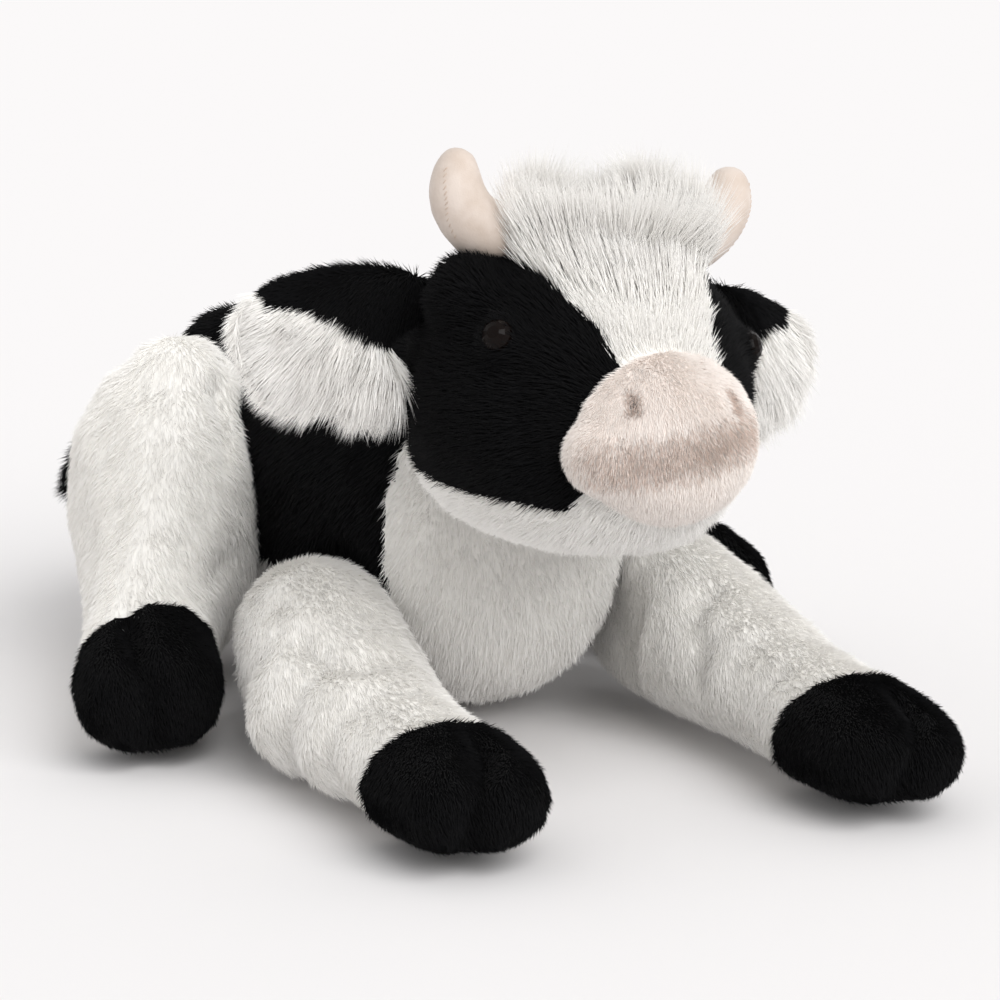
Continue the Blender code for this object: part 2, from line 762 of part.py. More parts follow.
def build_limb(names, cage, ankle, lean, inside, joint, surfaces):
    """Cut a limb's form into a leg and a hoof at the leaning ankle seam, and fill it."""
    leg, hoof = names
    forward = Vector((0.0, -math.cos(lean), -math.sin(lean)))
    half = forward * SEAM_GAP / 2.0
    floor = beyond(leg + "_floor", (0.0, 0.0, 0.0), (0.0, 0.0, -1.0), joint)
    front = beyond(leg + "_front", ankle - half, forward, joint)
    back = beyond(leg + "_back", ankle + half, -forward, joint)
    sleeve = solid(leg, cage, surfaces["white"], joint)
    cut(sleeve, [floor, inside, front])
    hollow(sleeve, cage, joint)
    cover = solid(hoof, cage, surfaces["black"], joint)
    cut(cover, [floor, back])
    hollow(cover, cage, joint)
    cut(filling(leg + "_filling", cage, surfaces["fibre"], joint), [floor, inside])


def ear_frame(side, place):
    """Frame of an ear: Z to the tip, swept back and drooping, and Y along its height."""
    course = Vector((
        side * math.cos(EAR_SWEEP) * math.cos(EAR_DROOP),
        math.sin(EAR_SWEEP) * math.cos(EAR_DROOP),
        -math.sin(EAR_DROOP),
    ))
    thickness = Vector((0.0, 0.0, 1.0)).cross(course).normalized()
    height = course.cross(thickness)
    turn = Matrix((thickness, height, course)).transposed().to_4x4()
    return Matrix.Translation(place) @ turn


def build_ear(side, head, head_form, joint, surfaces):
    """Build an ear from its back cloth and its long piled lining, and return its socket."""
    label = side_name(side)
    place, normal = surface_point(head_form, (side * EAR_SPREAD, EAR_Y, EAR_RISE))
    frame = head @ ear_frame(side, place + normal * EAR_STANDOFF)
    joint.matrix_world = Matrix.Translation(frame.translation)
    bpy.context.view_layer.update()
    cage = loft("ear_cage" + label, ear_rings(), SMALL_SIDES)
    front = -side * EAR_THICKNESS
    high, low = (share * EAR_HEIGHT for share in EAR_LINING_SHARES)
    outline = [
        (front, high, 0.0),
        (-front, low, 0.0),
        (-front, -CUTTER_REACH, 0.0),
        (front, -CUTTER_REACH, 0.0),
    ]
    start = (0.0, 0.0, -CUTTER_REACH)
    stretch = (0.0, 0.0, CUTTER_REACH + CUTTER_REACH)
    tilted = frame @ Matrix.Rotation(-EAR_LINING_TILT, 4, "X")
    region = prism_cutter("ear_lining_region" + label, outline, start, stretch, joint, tilted)
    wall = wall_of("ear_seam" + label, region, joint, tilted)
    cut(solid("ear" + label + "_back", cage, surfaces["black"], joint, frame), [wall, region])
    lining = solid("ear" + label + "_lining", cage, surfaces["white"], joint, frame)
    cut(lining, [wall])
    cut(lining, [region], "INTERSECT")
    radius = EAR_ROOT_HEIGHT / 2.0 + SEAM_GAP
    reach = EAR_THICKNESS * EAR_SOCKET_SHARE / 2.0
    ends = (-reach, 0.0, 0.0), (reach, 0.0, 0.0)
    return rod_cutter("ear_socket" + label, *ends, radius, joint, frame)


def build_horn(side, head, head_form, joint, surfaces):
    """Build a horn's suede cover and its filling, seated on the head."""
    label = side_name(side)
    cage = loft("horn_cage" + label, horn_rings(side), SMALL_SIDES)
    cover = solid("horn" + label, cage, surfaces["suede"], joint, head)
    fibre = surfaces["fibre"]
    core = filling("horn" + label + "_filling", cage, fibre, joint, head, HORN_CLOTH)
    cut(cover, [head_form])
    hollow(cover, cage, joint, head, HORN_CLOTH)
    cut(core, [head_form])
    return form_cutter("horn_form" + label, cage, SEAM_GAP, joint, head)


def build_eye(side, head, head_form, joint, surfaces):
    """Build a safety eye and its washer, and return the holes that they need."""
    label = side_name(side)
    place, normal = surface_point(head_form, (side * EYE_SPREAD, EYE_Y, EYE_RISE))
    frame = head @ facing(place, normal)
    shank = EYE_SHANK_DIAMETER / 2.0
    radius = EYE_DIAMETER / 2.0
    profile = [(0.0, -EYE_SHANK_LENGTH), (shank, -EYE_SHANK_LENGTH), (shank, 0.0)]
    for step in range(EYE_DOME_STEPS + 1):
        angle = step / EYE_DOME_STEPS * math.pi / 2.0
        profile.append((radius * math.cos(angle), EYE_BULGE * math.sin(angle)))
    eye = add_object("eye" + label, turned("eye" + label, profile, False), joint, frame)
    dress(eye, surfaces["eye"])
    top = -EYE_WASHER_DEPTH
    bottom = top - EYE_WASHER_THICKNESS
    inner = shank + SEAM_GAP
    outer = EYE_WASHER_DIAMETER / 2.0
    rim = [(inner, bottom), (outer, bottom), (outer, top), (inner, top)]
    washer_mesh = turned("eye_washer" + label, rim, True)
    dress(add_object("eye_washer" + label, washer_mesh, joint, frame), surfaces["washer"])
    inside = (0.0, 0.0, -EYE_SHANK_LENGTH)
    deeper = (0.0, 0.0, -EYE_SHANK_LENGTH - SEAM_GAP)
    outside = (0.0, 0.0, EYE_DIAMETER)
    hole = rod_cutter("eye_hole" + label, inside, outside, inner, joint, frame, TURNED_STEPS)
    room = rod_cutter(
        "washer_room" + label, deeper, outside, outer + SEAM_GAP, joint, frame, TURNED_STEPS)
    return hole, room


def build_head(joints, surfaces):
    """Build the head's panels, muzzle, forelock, horns, eyes and ears, and its filling."""
    joint = joints["head"]
    turn = Matrix.Rotation(HEAD_YAW, 4, "Z") @ Matrix.Rotation(HEAD_ROLL, 4, "Y")
    head = Matrix.Translation((0.0, HEAD_Y, HEAD_RISE)) @ turn
    rings = barrel_rings(
        HEAD_SHARES, HEAD_LENGTH / 2.0, HEAD_LENGTH, HEAD_WIDTH, HEAD_HEIGHT, 0.0)
    cage = loft("head_cage", rings, HEAD_SIDES, HEAD_FULLNESS_SHARE)
    muzzle_back = -MUZZLE_REACH + MUZZLE_LENGTH / 2.0
    rings = barrel_rings(
        MUZZLE_SHARES, muzzle_back, MUZZLE_LENGTH, MUZZLE_WIDTH, MUZZLE_HEIGHT, -MUZZLE_DROP)
    muzzle_cage = loft("muzzle_cage", rings, MUZZLE_SIDES)
    rings = barrel_rings(
        FORELOCK_SHARES, FORELOCK_LENGTH / 2.0, FORELOCK_LENGTH, FORELOCK_WIDTH,
        FORELOCK_HEIGHT, FORELOCK_RISE)
    forelock_cage = loft("forelock_cage", rings, SMALL_SIDES)
    head_form = form_cutter("head_form", cage, SEAM_GAP, joint, head)
    muzzle_form = form_cutter("muzzle_form", muzzle_cage, SEAM_GAP, joint, head)
    muzzle_core = form_cutter("muzzle_core", muzzle_cage, -CLOTH - SEAM_GAP, joint, head)

    neck, rise = neck_plane()
    behind = beyond("nape_cut", neck + rise * SEAM_GAP, -rise, joint)

    horn_forms = []
    sockets = {}
    holes = {}
    rooms = {}
    for side in (-1.0, 1.0):
        label = side_name(side)
        sockets[side] = build_ear(side, head, head_form, joints["ear" + label], surfaces)
        horn_forms.append(build_horn(side, head, head_form, joint, surfaces))
        holes[side], rooms[side] = build_eye(side, head, head_form, joint, surfaces)

    half = SEAM_GAP / 2.0
    right_edge = [
        (-share * BLAZE_WIDTH / 2.0, 0.0, height * HEAD_HEIGHT) for height, share in BLAZE_SHARES
    ]
    left_edge = [(-x, y, z) for x, y, z in reversed(right_edge)]
    back = (0.0, BLAZE_BACK, 0.0)
    forward = (0.0, -CUTTER_REACH, 0.0)
    outline = right_edge + left_edge
    blaze_region = prism_cutter("blaze_region", outline, back, forward, joint, head)
    blaze_seam = wall_of("blaze_seam", blaze_region, joint, head)
    down = (0.0, 0.0, -1.0)
    upward = (0.0, 0.0, 1.0)
    below_jaw = beyond("jaw_below", (0.0, 0.0, half - JAW_SEAM_DROP), down, joint, head)
    above_jaw = beyond("jaw_above", (0.0, 0.0, -half - JAW_SEAM_DROP), upward, joint, head)
    left_half = beyond("head_left_half", (-half, 0.0, 0.0), (1.0, 0.0, 0.0), joint, head)
    right_half = beyond("head_right_half", (half, 0.0, 0.0), (-1.0, 0.0, 0.0), joint, head)

    blaze = solid("head_blaze", cage, surfaces["white"], joint, head)
    cut(blaze, [behind, blaze_seam])
    cut(blaze, [blaze_region], "INTERSECT")
    cut(blaze, [muzzle_form])
    hollow(blaze, cage, joint, head)
    jaw = solid("head_jaw_ruff", cage, surfaces["white"], joint, head)
    cut(jaw, [behind, above_jaw, muzzle_form])
    hollow(jaw, cage, joint, head)
    for side, other_half in ((-1.0, left_half), (1.0, right_half)):
        face = solid("head_face" + side_name(side), cage, surfaces["black"], joint, head)
        cut(face, [other_half, behind, below_jaw, blaze_seam, blaze_region])
        cut(face, [muzzle_form, sockets[side], holes[side]])
        hollow(face, cage, joint, head)

    muzzle = solid("head_muzzle", muzzle_cage, surfaces["pink"], joint, head)
    cut(muzzle, [head_form])
    hollow(muzzle, muzzle_cage, joint, head)
    forelock = solid("head_forelock", forelock_cage, surfaces["white"], joint, head)
    cut(forelock, [head_form] + horn_forms)
    core = filling("head_filling", cage, surfaces["fibre"], joint, head)
    cut(core, [muzzle_core], "UNION")
    cut(core, [behind] + list(sockets.values()) + list(rooms.values()))


def build_tail(joint, surfaces):
    """Build the tail and its tuft."""
    solid("tail", loft("tail", tail_rings(), SMALL_SIDES), surfaces["white"], joint)
    solid("tail_tuft", loft("tail_tuft", tuft_rings(), SMALL_SIDES), surfaces["black"], joint)


def toy_box():
    """Return the lowest and the highest corner of the box round the toy's pieces."""
    bpy.context.view_layer.update()
    graph = bpy.context.evaluated_depsgraph_get()
    corners = []
    for made in bpy.data.objects:
        if made.type == "MESH" and not made.hide_render:
            shape = made.evaluated_get(graph)
            corners += [shape.matrix_world @ vert.co for vert in shape.data.vertices]
    lowest = Vector(min(corner[axis] for corner in corners) for axis in range(3))
    highest = Vector(max(corner[axis] for corner in corners) for axis in range(3))
    return lowest, highest


def main():
    """Build the whole cow."""
    clear_scene()
    base = bpy.data.objects.new("cow_frame", None)
    bpy.context.scene.collection.objects.link(base)
    bpy.context.view_layer.update()
    surfaces = {
        "white": cloth_material("white_plush", (0.87, 0.86, 0.84)),
        "black": cloth_material("black_plush", (0.012, 0.012, 0.014)),
        "pink": cloth_material("pink_plush", (0.72, 0.60, 0.54)),
        "suede": cloth_material("cream_suede", (0.80, 0.70, 0.60)),
        "fibre": cloth_material("white_fibre", (0.92, 0.92, 0.92)),
        "eye": cloth_material("brown_eye", (0.05, 0.015, 0.008), 0.06),
        "washer": cloth_material("white_washer", (0.80, 0.80, 0.78), 0.45),
    }
    joints = {"head": add_joint("head_joint", (0.0, NECK_SEAM_Y, NECK_SEAM_HEIGHT), base)}
    for side in (-1.0, 1.0):
        label = side_name(side)
        joints["ear" + label] = add_joint("ear_joint" + label, (0.0, 0.0, 0.0), joints["head"])
        joints["foreleg" + label] = add_joint(
            "foreleg_joint" + label, (side * FORELEG_SEAM, SHOULDER_Y, SHOULDER_HEIGHT), base)
        joints["hind_leg" + label] = add_joint(
            "hind_leg_joint" + label, (side * HIP_SEAM, HIP_Y, HIP_HEIGHT), base)
        build_foreleg(side, joints["foreleg" + label], surfaces)
        build_hind_leg(side, joints["hind_leg" + label], surfaces)
    joints["tail"] = add_joint("tail_joint", (0.0, TAIL_ROOT_Y, TAIL_ROOT_HEIGHT), base)
    build_body(base, surfaces)
    build_head(joints, surfaces)
    build_tail(joints["tail"], surfaces)

    # The origin is the middle of the box's underside
    lowest, highest = toy_box()
    middle = (lowest + highest) / 2.0
    base.location = (-middle.x, -middle.y, -lowest.z)


main()
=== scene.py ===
"""Looks of the lying plush cow: padded skins, plush pile, horns, eyes and the studio."""

import math
from functools import partial

import bmesh
import bpy
from bpy.props import FloatProperty, FloatVectorProperty, IntProperty, PointerProperty
from mathutils import Matrix, Vector, noise
from mathutils.bvhtree import BVHTree


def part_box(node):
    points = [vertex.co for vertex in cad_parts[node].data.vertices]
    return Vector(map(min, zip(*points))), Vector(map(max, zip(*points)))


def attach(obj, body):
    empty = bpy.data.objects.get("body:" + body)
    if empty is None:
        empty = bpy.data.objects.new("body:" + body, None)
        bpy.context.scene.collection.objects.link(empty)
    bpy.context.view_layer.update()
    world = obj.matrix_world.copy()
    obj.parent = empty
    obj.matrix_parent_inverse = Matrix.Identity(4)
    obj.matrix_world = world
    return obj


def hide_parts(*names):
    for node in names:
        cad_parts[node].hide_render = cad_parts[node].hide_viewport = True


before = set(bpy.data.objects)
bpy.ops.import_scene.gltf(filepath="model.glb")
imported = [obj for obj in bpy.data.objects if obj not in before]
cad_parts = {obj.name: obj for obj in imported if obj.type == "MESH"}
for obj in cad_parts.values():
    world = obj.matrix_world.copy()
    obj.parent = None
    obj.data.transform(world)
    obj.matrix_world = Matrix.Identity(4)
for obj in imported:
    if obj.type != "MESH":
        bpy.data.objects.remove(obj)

bl_info = {
    "name": "Plush cow looks",
    "version": (1, 0, 0),
    "blender": (4, 5, 0),
    "location": "View3D > Sidebar > Plush cow",
    "description": "Dresses the plush cow in skins, pile, horns and eyes",
    "category": "Object",
}

# Lengths in the tables below are in millimetres; the scene is in metres.
MM = 0.001

# Skins: least height above the floor, and the size of the humps of uneven stuffing
SKIN_LIFT = 0.2 * MM
RIPPLE_SIZE = 26

# Colours on a skin: how far the pile lies over a seam, how softly the colours meet there,
# and how far and how often the line between them wavers
PILE_OVERHANG = 3.5 * MM
SEAM_BLEND = 2.0 * MM
WAVER_DEPTH = 1.2 * MM
WAVER_SIZE = 7 * MM

# Chance that a strand of a colour grows rises from 0 to 1 between these shares of it
GROWN_FROM_SHARE = 0.15
GROWN_TO_SHARE = 0.85

# Pile is thin where the toy rests on the floor: how far the cloth faces down, up to which
# height, and the share of strands that is left
RESTING_TURN = -0.8
RESTING_HEIGHT = 10 * MM
RESTING_SHARE = 0.12

# No pile grows inside another piece, between these depths under its skin
LEAST_DEPTH = 2.5 * MM
MOST_DEPTH = 20 * MM

# Stitches of the horns: slant across the seam, and lift above it in thread widths
STITCH_SLANT_SHARE = 0.9
STITCH_LIFT_SHARE = 0.4
STITCHES = 13
SEAM_BAND = 1.5 * MM

# Brushed suede of the horns: rubbed patches and nap, which is drawn coarser than the real
# one so that it shows
PATCH_SIZE = 11.1 * MM
NAP_SIZE = 0.714 * MM
NAP_HEIGHT = 0.4 * MM


def linear(code):
    """Gives the linear values of a colour that is written as sRGB hex."""
    shares = [int(code[place:place + 2], 16) / 255 for place in (0, 2, 4)]
    return [share / 12.92 if share <= 0.04045 else ((share + 0.055) / 1.055) ** 2.4
            for share in shares]


def colour(name, description, code):
    """A colour property with its value written as sRGB hex."""
    return FloatVectorProperty(name=name, description=description, size=3, subtype="COLOR",
                               min=0.0, max=1.0, default=linear(code))


def length(name, description, millimetres):
    """A length property, written in millimetres and kept in metres."""
    return FloatProperty(name=name, description=description, min=0.0, unit="LENGTH",
                         subtype="DISTANCE", precision=5, default=millimetres * MM)


class CowLooks(bpy.types.PropertyGroup):
    """Sizes and colours of the cow's plush, horns and eyes."""

    # Each root colour is darker than its tip: painted shade at the foot of the pile, where the
    # strands crowd together; the backings take the same colour
    white: colour("White plush", "Tips of the white pile", "FDFBF8")
    white_root_shade: colour("White root", "Foot of the white pile", "F8F6F2")
    black: colour("Black plush", "Tips of the black pile", "0C0C0E")
    black_root_shade: colour("Black root", "Foot of the black pile", "050506")
    nose: colour("Muzzle plush", "Tips of the pale rose pile of the muzzle", "FBF5F0")
    nose_root_shade: colour("Muzzle root", "Foot of the muzzle's pile", "F6EDE7")
    # A brown band along the mouth line; in the nostrils the same brown is painted shade in their
    # dents
    mouth: colour("Mouth shade", "Airbrushed brown of the mouth and nostrils", "DAC6BA")
    suede: colour("Horn suede", "Cream sueded cloth of the horns", "DCCFC5")
    suede_dark: colour("Horn shade", "Worn and rubbed parts of the horns' cloth", "CDBDB0")
    thread: colour("Thread", "Sewing thread of the horns", "CBB9AA")
    iris: colour("Eye", "Dark brown of the safety eyes", "0E0705")
    washer: colour("Washer", "Milky plastic of the eyes' washers", "E6E6E2")
    floor: colour("Floor", "Pale studio floor", "EFEDED")
    strand_width: length("Strand width", "Width of a strand of pile at its foot", 0.56)
    hair_width: length("Hair width", "Width of a long hair at its foot", 0.65)
    muzzle_width: length("Muzzle strand width", "Width of a strand on the muzzle", 0.4)
    thread_width: length("Thread width", "Thickness of the sewing thread", 0.55)
    stitch_length: length("Stitch length", "Length of a stitch on the horns' seams", 2.4)
    floor_gap: length("Floor gap", "Least height of a strand above the floor", 0.4)
    voxel: length("Skin step", "Step of the grid that a skin is drawn on", 3.0)
    fine_voxel: length("Fine step", "Step of the grid of a small skin", 1.8)
    scatter: FloatProperty(name="Scatter", description="How far strands stray from the comb",
                           min=0.0, default=0.25)
    seed: IntProperty(name="Seed", description="Start of the strands' chance values", default=7)


def looks():
    """The sizes and colours in use."""
    return bpy.context.scene.plush_cow


def main_output(node):
    """The first output of a node that its settings leave in use."""
    return next(output for output in node.outputs if output.enabled)


def add_node(tree, kind, inputs=None, **settings):
    """Adds a node; an input is given by its name or place, as a value, a socket or a node."""
    node = tree.nodes.new(kind)
    for key, value in settings.items():
        setattr(node, key, value)
    for key, value in (inputs or {}).items():
        if isinstance(key, str):
            socket = next(s for s in node.inputs if s.name == key and s.enabled)
        else:
            socket = node.inputs[key]
        if isinstance(value, bpy.types.Node):
            value = main_output(value)
        if isinstance(value, bpy.types.NodeSocket):
            tree.links.new(value, socket)
        else:
            socket.default_value = value
    return node


def new_material(name, roughness, specular):
    """A material of that roughness and gloss, and its surface node."""
    material = bpy.data.materials.new(name)
    material.use_nodes = True
    surface = material.node_tree.nodes["Principled BSDF"]
    surface.inputs["Roughness"].default_value = roughness
    surface.inputs["Specular IOR Level"].default_value = specular
    return material, surface


def pile_material(name, root, tip, sheen, gloss=0.25):
    """Polyester plush pile: dull strands, darker at the foot as painted shade, each a little paler
    or darker.
    """
    material, surface = new_material(name, 0.85, gloss)
    add = partial(add_node, material.node_tree)
    place = add("ShaderNodeUVMap", uv_map="Strand")
    parts = add("ShaderNodeSeparateXYZ", {"Vector": place})
    rise = add("ShaderNodeMapRange", {"Value": parts.outputs["Y"], "From Max": 0.7})
    # Foot to tip: the darker foot is painted shade among the strands
    shade = add("ShaderNodeMix", {"Factor": rise, "A": (*root, 1.0), "B": (*tip, 1.0)},
                data_type="RGBA")
    tint = add("ShaderNodeMapRange",
               {"Value": parts.outputs["X"], "To Min": 0.95, "To Max": 1.02})
    tinted = add("ShaderNodeVectorMath", {"Vector": shade, "Scale": tint}, operation="SCALE")
    material.node_tree.links.new(main_output(tinted), surface.inputs["Base Color"])
    surface.inputs["Sheen Weight"].default_value = sheen
    surface.inputs["Sheen Roughness"].default_value = 0.5
    return material


def backing_material(name, shade):
    """Knitted polyester under the pile, and thread: flat and matt, with hardly any gloss."""
    material, surface = new_material(name, 0.95, 0.1)
    surface.inputs["Base Color"].default_value = (*shade, 1.0)
    return material


def suede_material(name, pale, dark):
    """Brushed microfibre suede: a matt nap with soft patches of rubbed and laid fibres."""
    material, surface = new_material(name, 0.9, 0.2)
    add = partial(add_node, material.node_tree)
    place = add("ShaderNodeTexCoord").outputs["Object"]
    patch = add("ShaderNodeTexNoise", {"Vector": place, "Scale": 1 / PATCH_SIZE, "Detail": 3.0})
    share = add("ShaderNodeMapRange",
                {"Value": patch.outputs["Fac"], "From Min": 0.35, "From Max": 0.7})
    shade = add("ShaderNodeMix", {"Factor": share, "A": (*pale, 1.0), "B": (*dark, 1.0)},
                data_type="RGBA")
    nap = add("ShaderNodeTexNoise", {"Vector": place, "Scale": 1 / NAP_SIZE, "Detail": 2.0})
    bump = add("ShaderNodeBump", {"Height": nap.outputs["Fac"], "Strength": 0.35,
                                  "Distance": NAP_HEIGHT})
    material.node_tree.links.new(main_output(shade), surface.inputs["Base Color"])
    material.node_tree.links.new(main_output(bump), surface.inputs["Normal"])
    surface.inputs["Sheen Weight"].default_value = 0.25
    return material


def eye_material(name, shade):
    """Moulded dark acrylic under clear lacquer, which gives the eye its small sharp glint."""
    material, surface = new_material(name, 0.2, 0.08)
    surface.inputs["Base Color"].default_value = (*shade, 1.0)
    surface.inputs["Coat Weight"].default_value = 0.05
    surface.inputs["Coat Roughness"].default_value = 0.05
    return material


def washer_material(name, shade):
    """Moulded polypropylene of the washer that locks the eye's post: milky and satin."""
    material, surface = new_material(name, 0.45, 0.5)
    surface.inputs["Base Color"].default_value = (*shade, 1.0)
    return material


def floor_material(name, shade):
    """Seamless paper of the studio: quite matt, so that it shows no reflection."""
    material, surface = new_material(name, 1.0, 0.0)
    surface.inputs["Base Color"].default_value = (*shade, 1.0)
    return material


MATERIALS = {}


def make_materials():
    """Makes the named materials once, from the colours in use."""
    look = looks()
    MATERIALS.update(
        white_pile=pile_material("white_pile", look.white_root_shade, look.white, 0.1),
        black_pile=pile_material("black_pile", look.black_root_shade, look.black, 0.02, 0.15),
        nose_pile=pile_material("nose_pile", look.nose_root_shade, look.nose, 0.1),
        mouth_pile=pile_material("mouth_pile", look.nose_root_shade, look.mouth, 0.1),
        # The backings take the root colours, the painted shade at the foot of the pile
        white_backing=backing_material("white_backing", look.white_root_shade),
        black_backing=backing_material("black_backing", look.black_root_shade),
        nose_backing=backing_material("nose_backing", look.nose_root_shade),
        suede=suede_material("horn_suede", look.suede, look.suede_dark),
        thread=backing_material("sewing_thread", look.thread),
        eye=eye_material("safety_eye", look.iris),
        washer=washer_material("washer_plastic", look.washer),
        floor=floor_material("studio_floor", look.floor))


def link(name, data):
    """A new object of that mesh, lamp or camera in the scene."""
    made = bpy.data.objects.new(name, data)
    bpy.context.scene.collection.objects.link(made)
    return made


def settled(draft, name):
    """The mesh that a draft object's modifiers make; the draft is taken away."""
    graph = bpy.context.evaluated_depsgraph_get()
    mesh = bpy.data.meshes.new_from_object(draft.evaluated_get(graph), depsgraph=graph)
    mesh.name = name
    old = draft.data
    bpy.data.objects.remove(draft)
    bpy.data.meshes.remove(old)
    return mesh


def node_form(nodes):
    """The welded faces of these CAD nodes, in the shared frame."""
    form = bmesh.new()
    for name in nodes:
        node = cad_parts[name]
        copy = node.data.copy()
        copy.transform(node.matrix_world)
        form.from_mesh(copy)
        bpy.data.meshes.remove(copy)
    bmesh.ops.remove_doubles(form, verts=form.verts, dist=0.01 * MM)
    return form


def hull_form(nodes):
    """The tight outer shape of these CAD nodes, without the hollow behind their cloth."""
    source = node_form(nodes)
    form = bmesh.new()
    for vertex in source.verts:
        form.verts.new(vertex.co)
    source.free()
    hull = bmesh.ops.convex_hull(form, input=form.verts)
    inner = {item for item in hull["geom_interior"] + hull["geom_unused"]
             if isinstance(item, bmesh.types.BMVert)}
    bmesh.ops.delete(form, geom=list(inner), context="VERTS")
    bmesh.ops.recalc_face_normals(form, faces=form.faces)
    return form


def middle(name):
    """The middle of a CAD node's box."""
    low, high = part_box(name)
    return (low + high) / 2


def node_tree(nodes):
    """A search tree over these CAD nodes."""
    form = node_form(nodes)
    tree = BVHTree.FromBMesh(form)
    form.free()
    return tree


def largest_shell(form):
    """Leaves only the shell with the most vertices, which is the outside one."""
    left = set(form.verts)
    shells = []
    while left:
        shell = {left.pop()}
        edge = list(shell)
        while edge:
            vertex = edge.pop()
            for line in vertex.link_edges:
                other = line.other_vert(vertex)
                if other in left:
                    left.remove(other)
                    shell.add(other)
                    edge.append(other)
        shells.append(shell)
    shells.sort(key=len)
    bmesh.ops.delete(form, geom=[v for shell in shells[:-1] for v in shell], context="VERTS")


def along_path(point, path):
    """Distance from a point to a path of points."""
    best = 1.0
    for start, end in zip(path, path[1:]):
        run = end - start
        share = max(0.0, min(1.0, (point - start).dot(run) / run.length_squared))
        best = min(best, (point - start - run * share).length)
    return best


def press(form, path, depth, width):
    """Presses a crease of that depth and width, in millimetres, along a path on the skin."""
    path = [Vector(point) * MM for point in path]
    form.normal_update()
    moves = [(vertex, vertex.normal * depth * MM
              * math.exp(-(along_path(vertex.co, path) / (width * MM)) ** 2))
             for vertex in form.verts]
    for vertex, move in moves:
        vertex.co -= move


def ripple(form, height, size):
    """Lifts and sinks the skin softly, as uneven stuffing does."""
    form.normal_update()
    moves = [(vertex, vertex.normal * noise.noise(vertex.co / (size * MM)) * height * MM)
             for vertex in form.verts]
    for vertex, move in moves:
        vertex.co += move


def away(place, extra=(0.0, 0.0, 0.0)):
    """A flow that leads away from a place, in millimetres, and drifts one way."""
    place = Vector(place) * MM
    extra = Vector(extra)
    return lambda point: (point - place).normalized() + extra


def steady(*way):
    """A flow that is the same everywhere."""
    way = Vector(way)
    return lambda point: way


def towards_crown(point, crown):
    """1 on the crown that carries the forelock, and less the further from it."""
    return max(0.0, min(1.0, 1.5 - crown.find_nearest(point)[3] / CROWN_BLEND))


def crowned(crown):
    """The head's flow, turned upwards on the crown."""
    return lambda point: HEAD_FLOW(point).lerp(FORELOCK_FLOW(point), towards_crown(point, crown))


def skins(*names):
    """The skins of these names."""
    return [bpy.data.objects[f"{name}_skin"] for name in names]


# Which way the pile lies on each form
BODY_FLOW = steady(0.0, 0.35, -1.0)
HEAD_FLOW = away((12, -215, 165), (0.0, 0.2, -0.25))
MUZZLE_FLOW = away((12, -165, 235), (0.0, 0.0, -0.2))
FORELOCK_FLOW = away((18, -140, 150), (0.0, 0.3, 0.9))
FORELEG_FLOW = steady(0.0, -0.8, -0.6)
HIND_LEG_FLOW = steady(0.0, -0.3, -1.0)
HOOF_FLOW = steady(0.0, -0.6, -0.8)
TAIL_FLOW = steady(-1.0, 0.0, -0.3)
EAR_FLOWS = {"right": away((-50, -78, 228), (0.0, 0.0, -0.15)),
             "left": away((108, -62, 225), (0.0, 0.0, -0.3))}

# Width of the edge in which the head's pile turns into the forelock
CROWN_BLEND = 8 * MM

# Rounds of stuffing that fill out the head, the haunch and the back: place and radius
CROWN_LUMPS = [((-43, -112, 216), 18), ((-9, -112, 231), 18), ((5, -114, 234), 19),
               ((19, -115, 235), 19), ((33, -113, 233), 19), ((48, -107, 226), 18)]
LEG_LUMPS = {"hind_leg_right": [((-78, 128, 128), 30)],
             "foreleg_right": [((-81, -24, 38), 29), ((-92, -66, 34), 31),
                               ((-92, -106, 33), 27)]}
EAR_LUMPS = {"right": [((-79, -83, 177), 10), ((-73, -83, 185), 10),
                       ((-67, -84, 177), 10)], "left": []}
EAR_CREASES = {"right": [([(-141, -78, 192), (-139, -78, 214)], 6.5, 15.0)], "left": []}
BACK_LUMPS = [((-38, 158, 138), 26)]
MUZZLE_LUMPS = [((-19, -186, 163), 17)]
EYE_LUMP_RADIUS = 10

# Where the hair of the ears is clipped short: place, radius and the length that is left
EAR_SHORT = {"right": (Vector((-142, -78, 200)) * MM, 34, 0.45),
             "left": (Vector((158, -62, 200)) * MM, 34, 0.45)}

# Around the eyes: no pile within the first radius, and shorter pile within the second
EYE_CLEAR_RADIUS = 3.4
EYE_SHORT_RADIUS = 12
EYE_SHORT_SHARE = 0.75

# Places that are white all over: where the ears' lining turns over the edge, and the jaw
EAR_SPOTS = {"right": [((-138, -78, 210), 19), ((-70, -85, 181), 14)],
             "left": [((152, -62, 178), 17)]}
JAW_SPOTS = [((14, -165, 136), 41)]

# Brown of the muzzle: width of the mouth band and of a nostril, and how strong each is; in the
# nostrils the brown is painted shade in their dents
MOUTH_WIDTH = 12 * MM
MOUTH_SHARE = 0.5
NOSTRIL_WIDTH = 4 * MM
NOSTRIL_SHADE_SHARE = 0.8

# Outer seam of each horn: the side that it runs on, its lowest and highest point
HORN_SEAMS = {"right": ((-0.8, -0.6, 0.0), 240, 273), "left": ((0.8, -0.6, 0.0), 222, 254)}

# Studio: reach of the floor, light of the sky and of the large soft lamp, and the camera's
# lens and sensor in millimetres, its angles, the point it looks at and how far off it stands
FLOOR_REACH = 30.0
SKY_STRENGTH = 0.7
KEY_STRENGTH = 1.95
KEY_SPREAD = math.radians(50)
KEY_WAY = (0.11, -0.73, 0.67)
LENS = 144
SENSOR_WIDTH = 36
AZIMUTH = math.radians(-26)
ELEVATION = math.radians(14)
CAMERA_AIM = (0.02144853, -0.00751708, 0.1)
CAMERA_DISTANCE = 1.8

# Which hoof ends which leg
HOOF_OF = {"foreleg_right": "fore_hoof_right", "foreleg_left": "fore_hoof_left",
           "hind_leg_right": "hind_hoof_right", "hind_leg_left": "hind_hoof_left"}

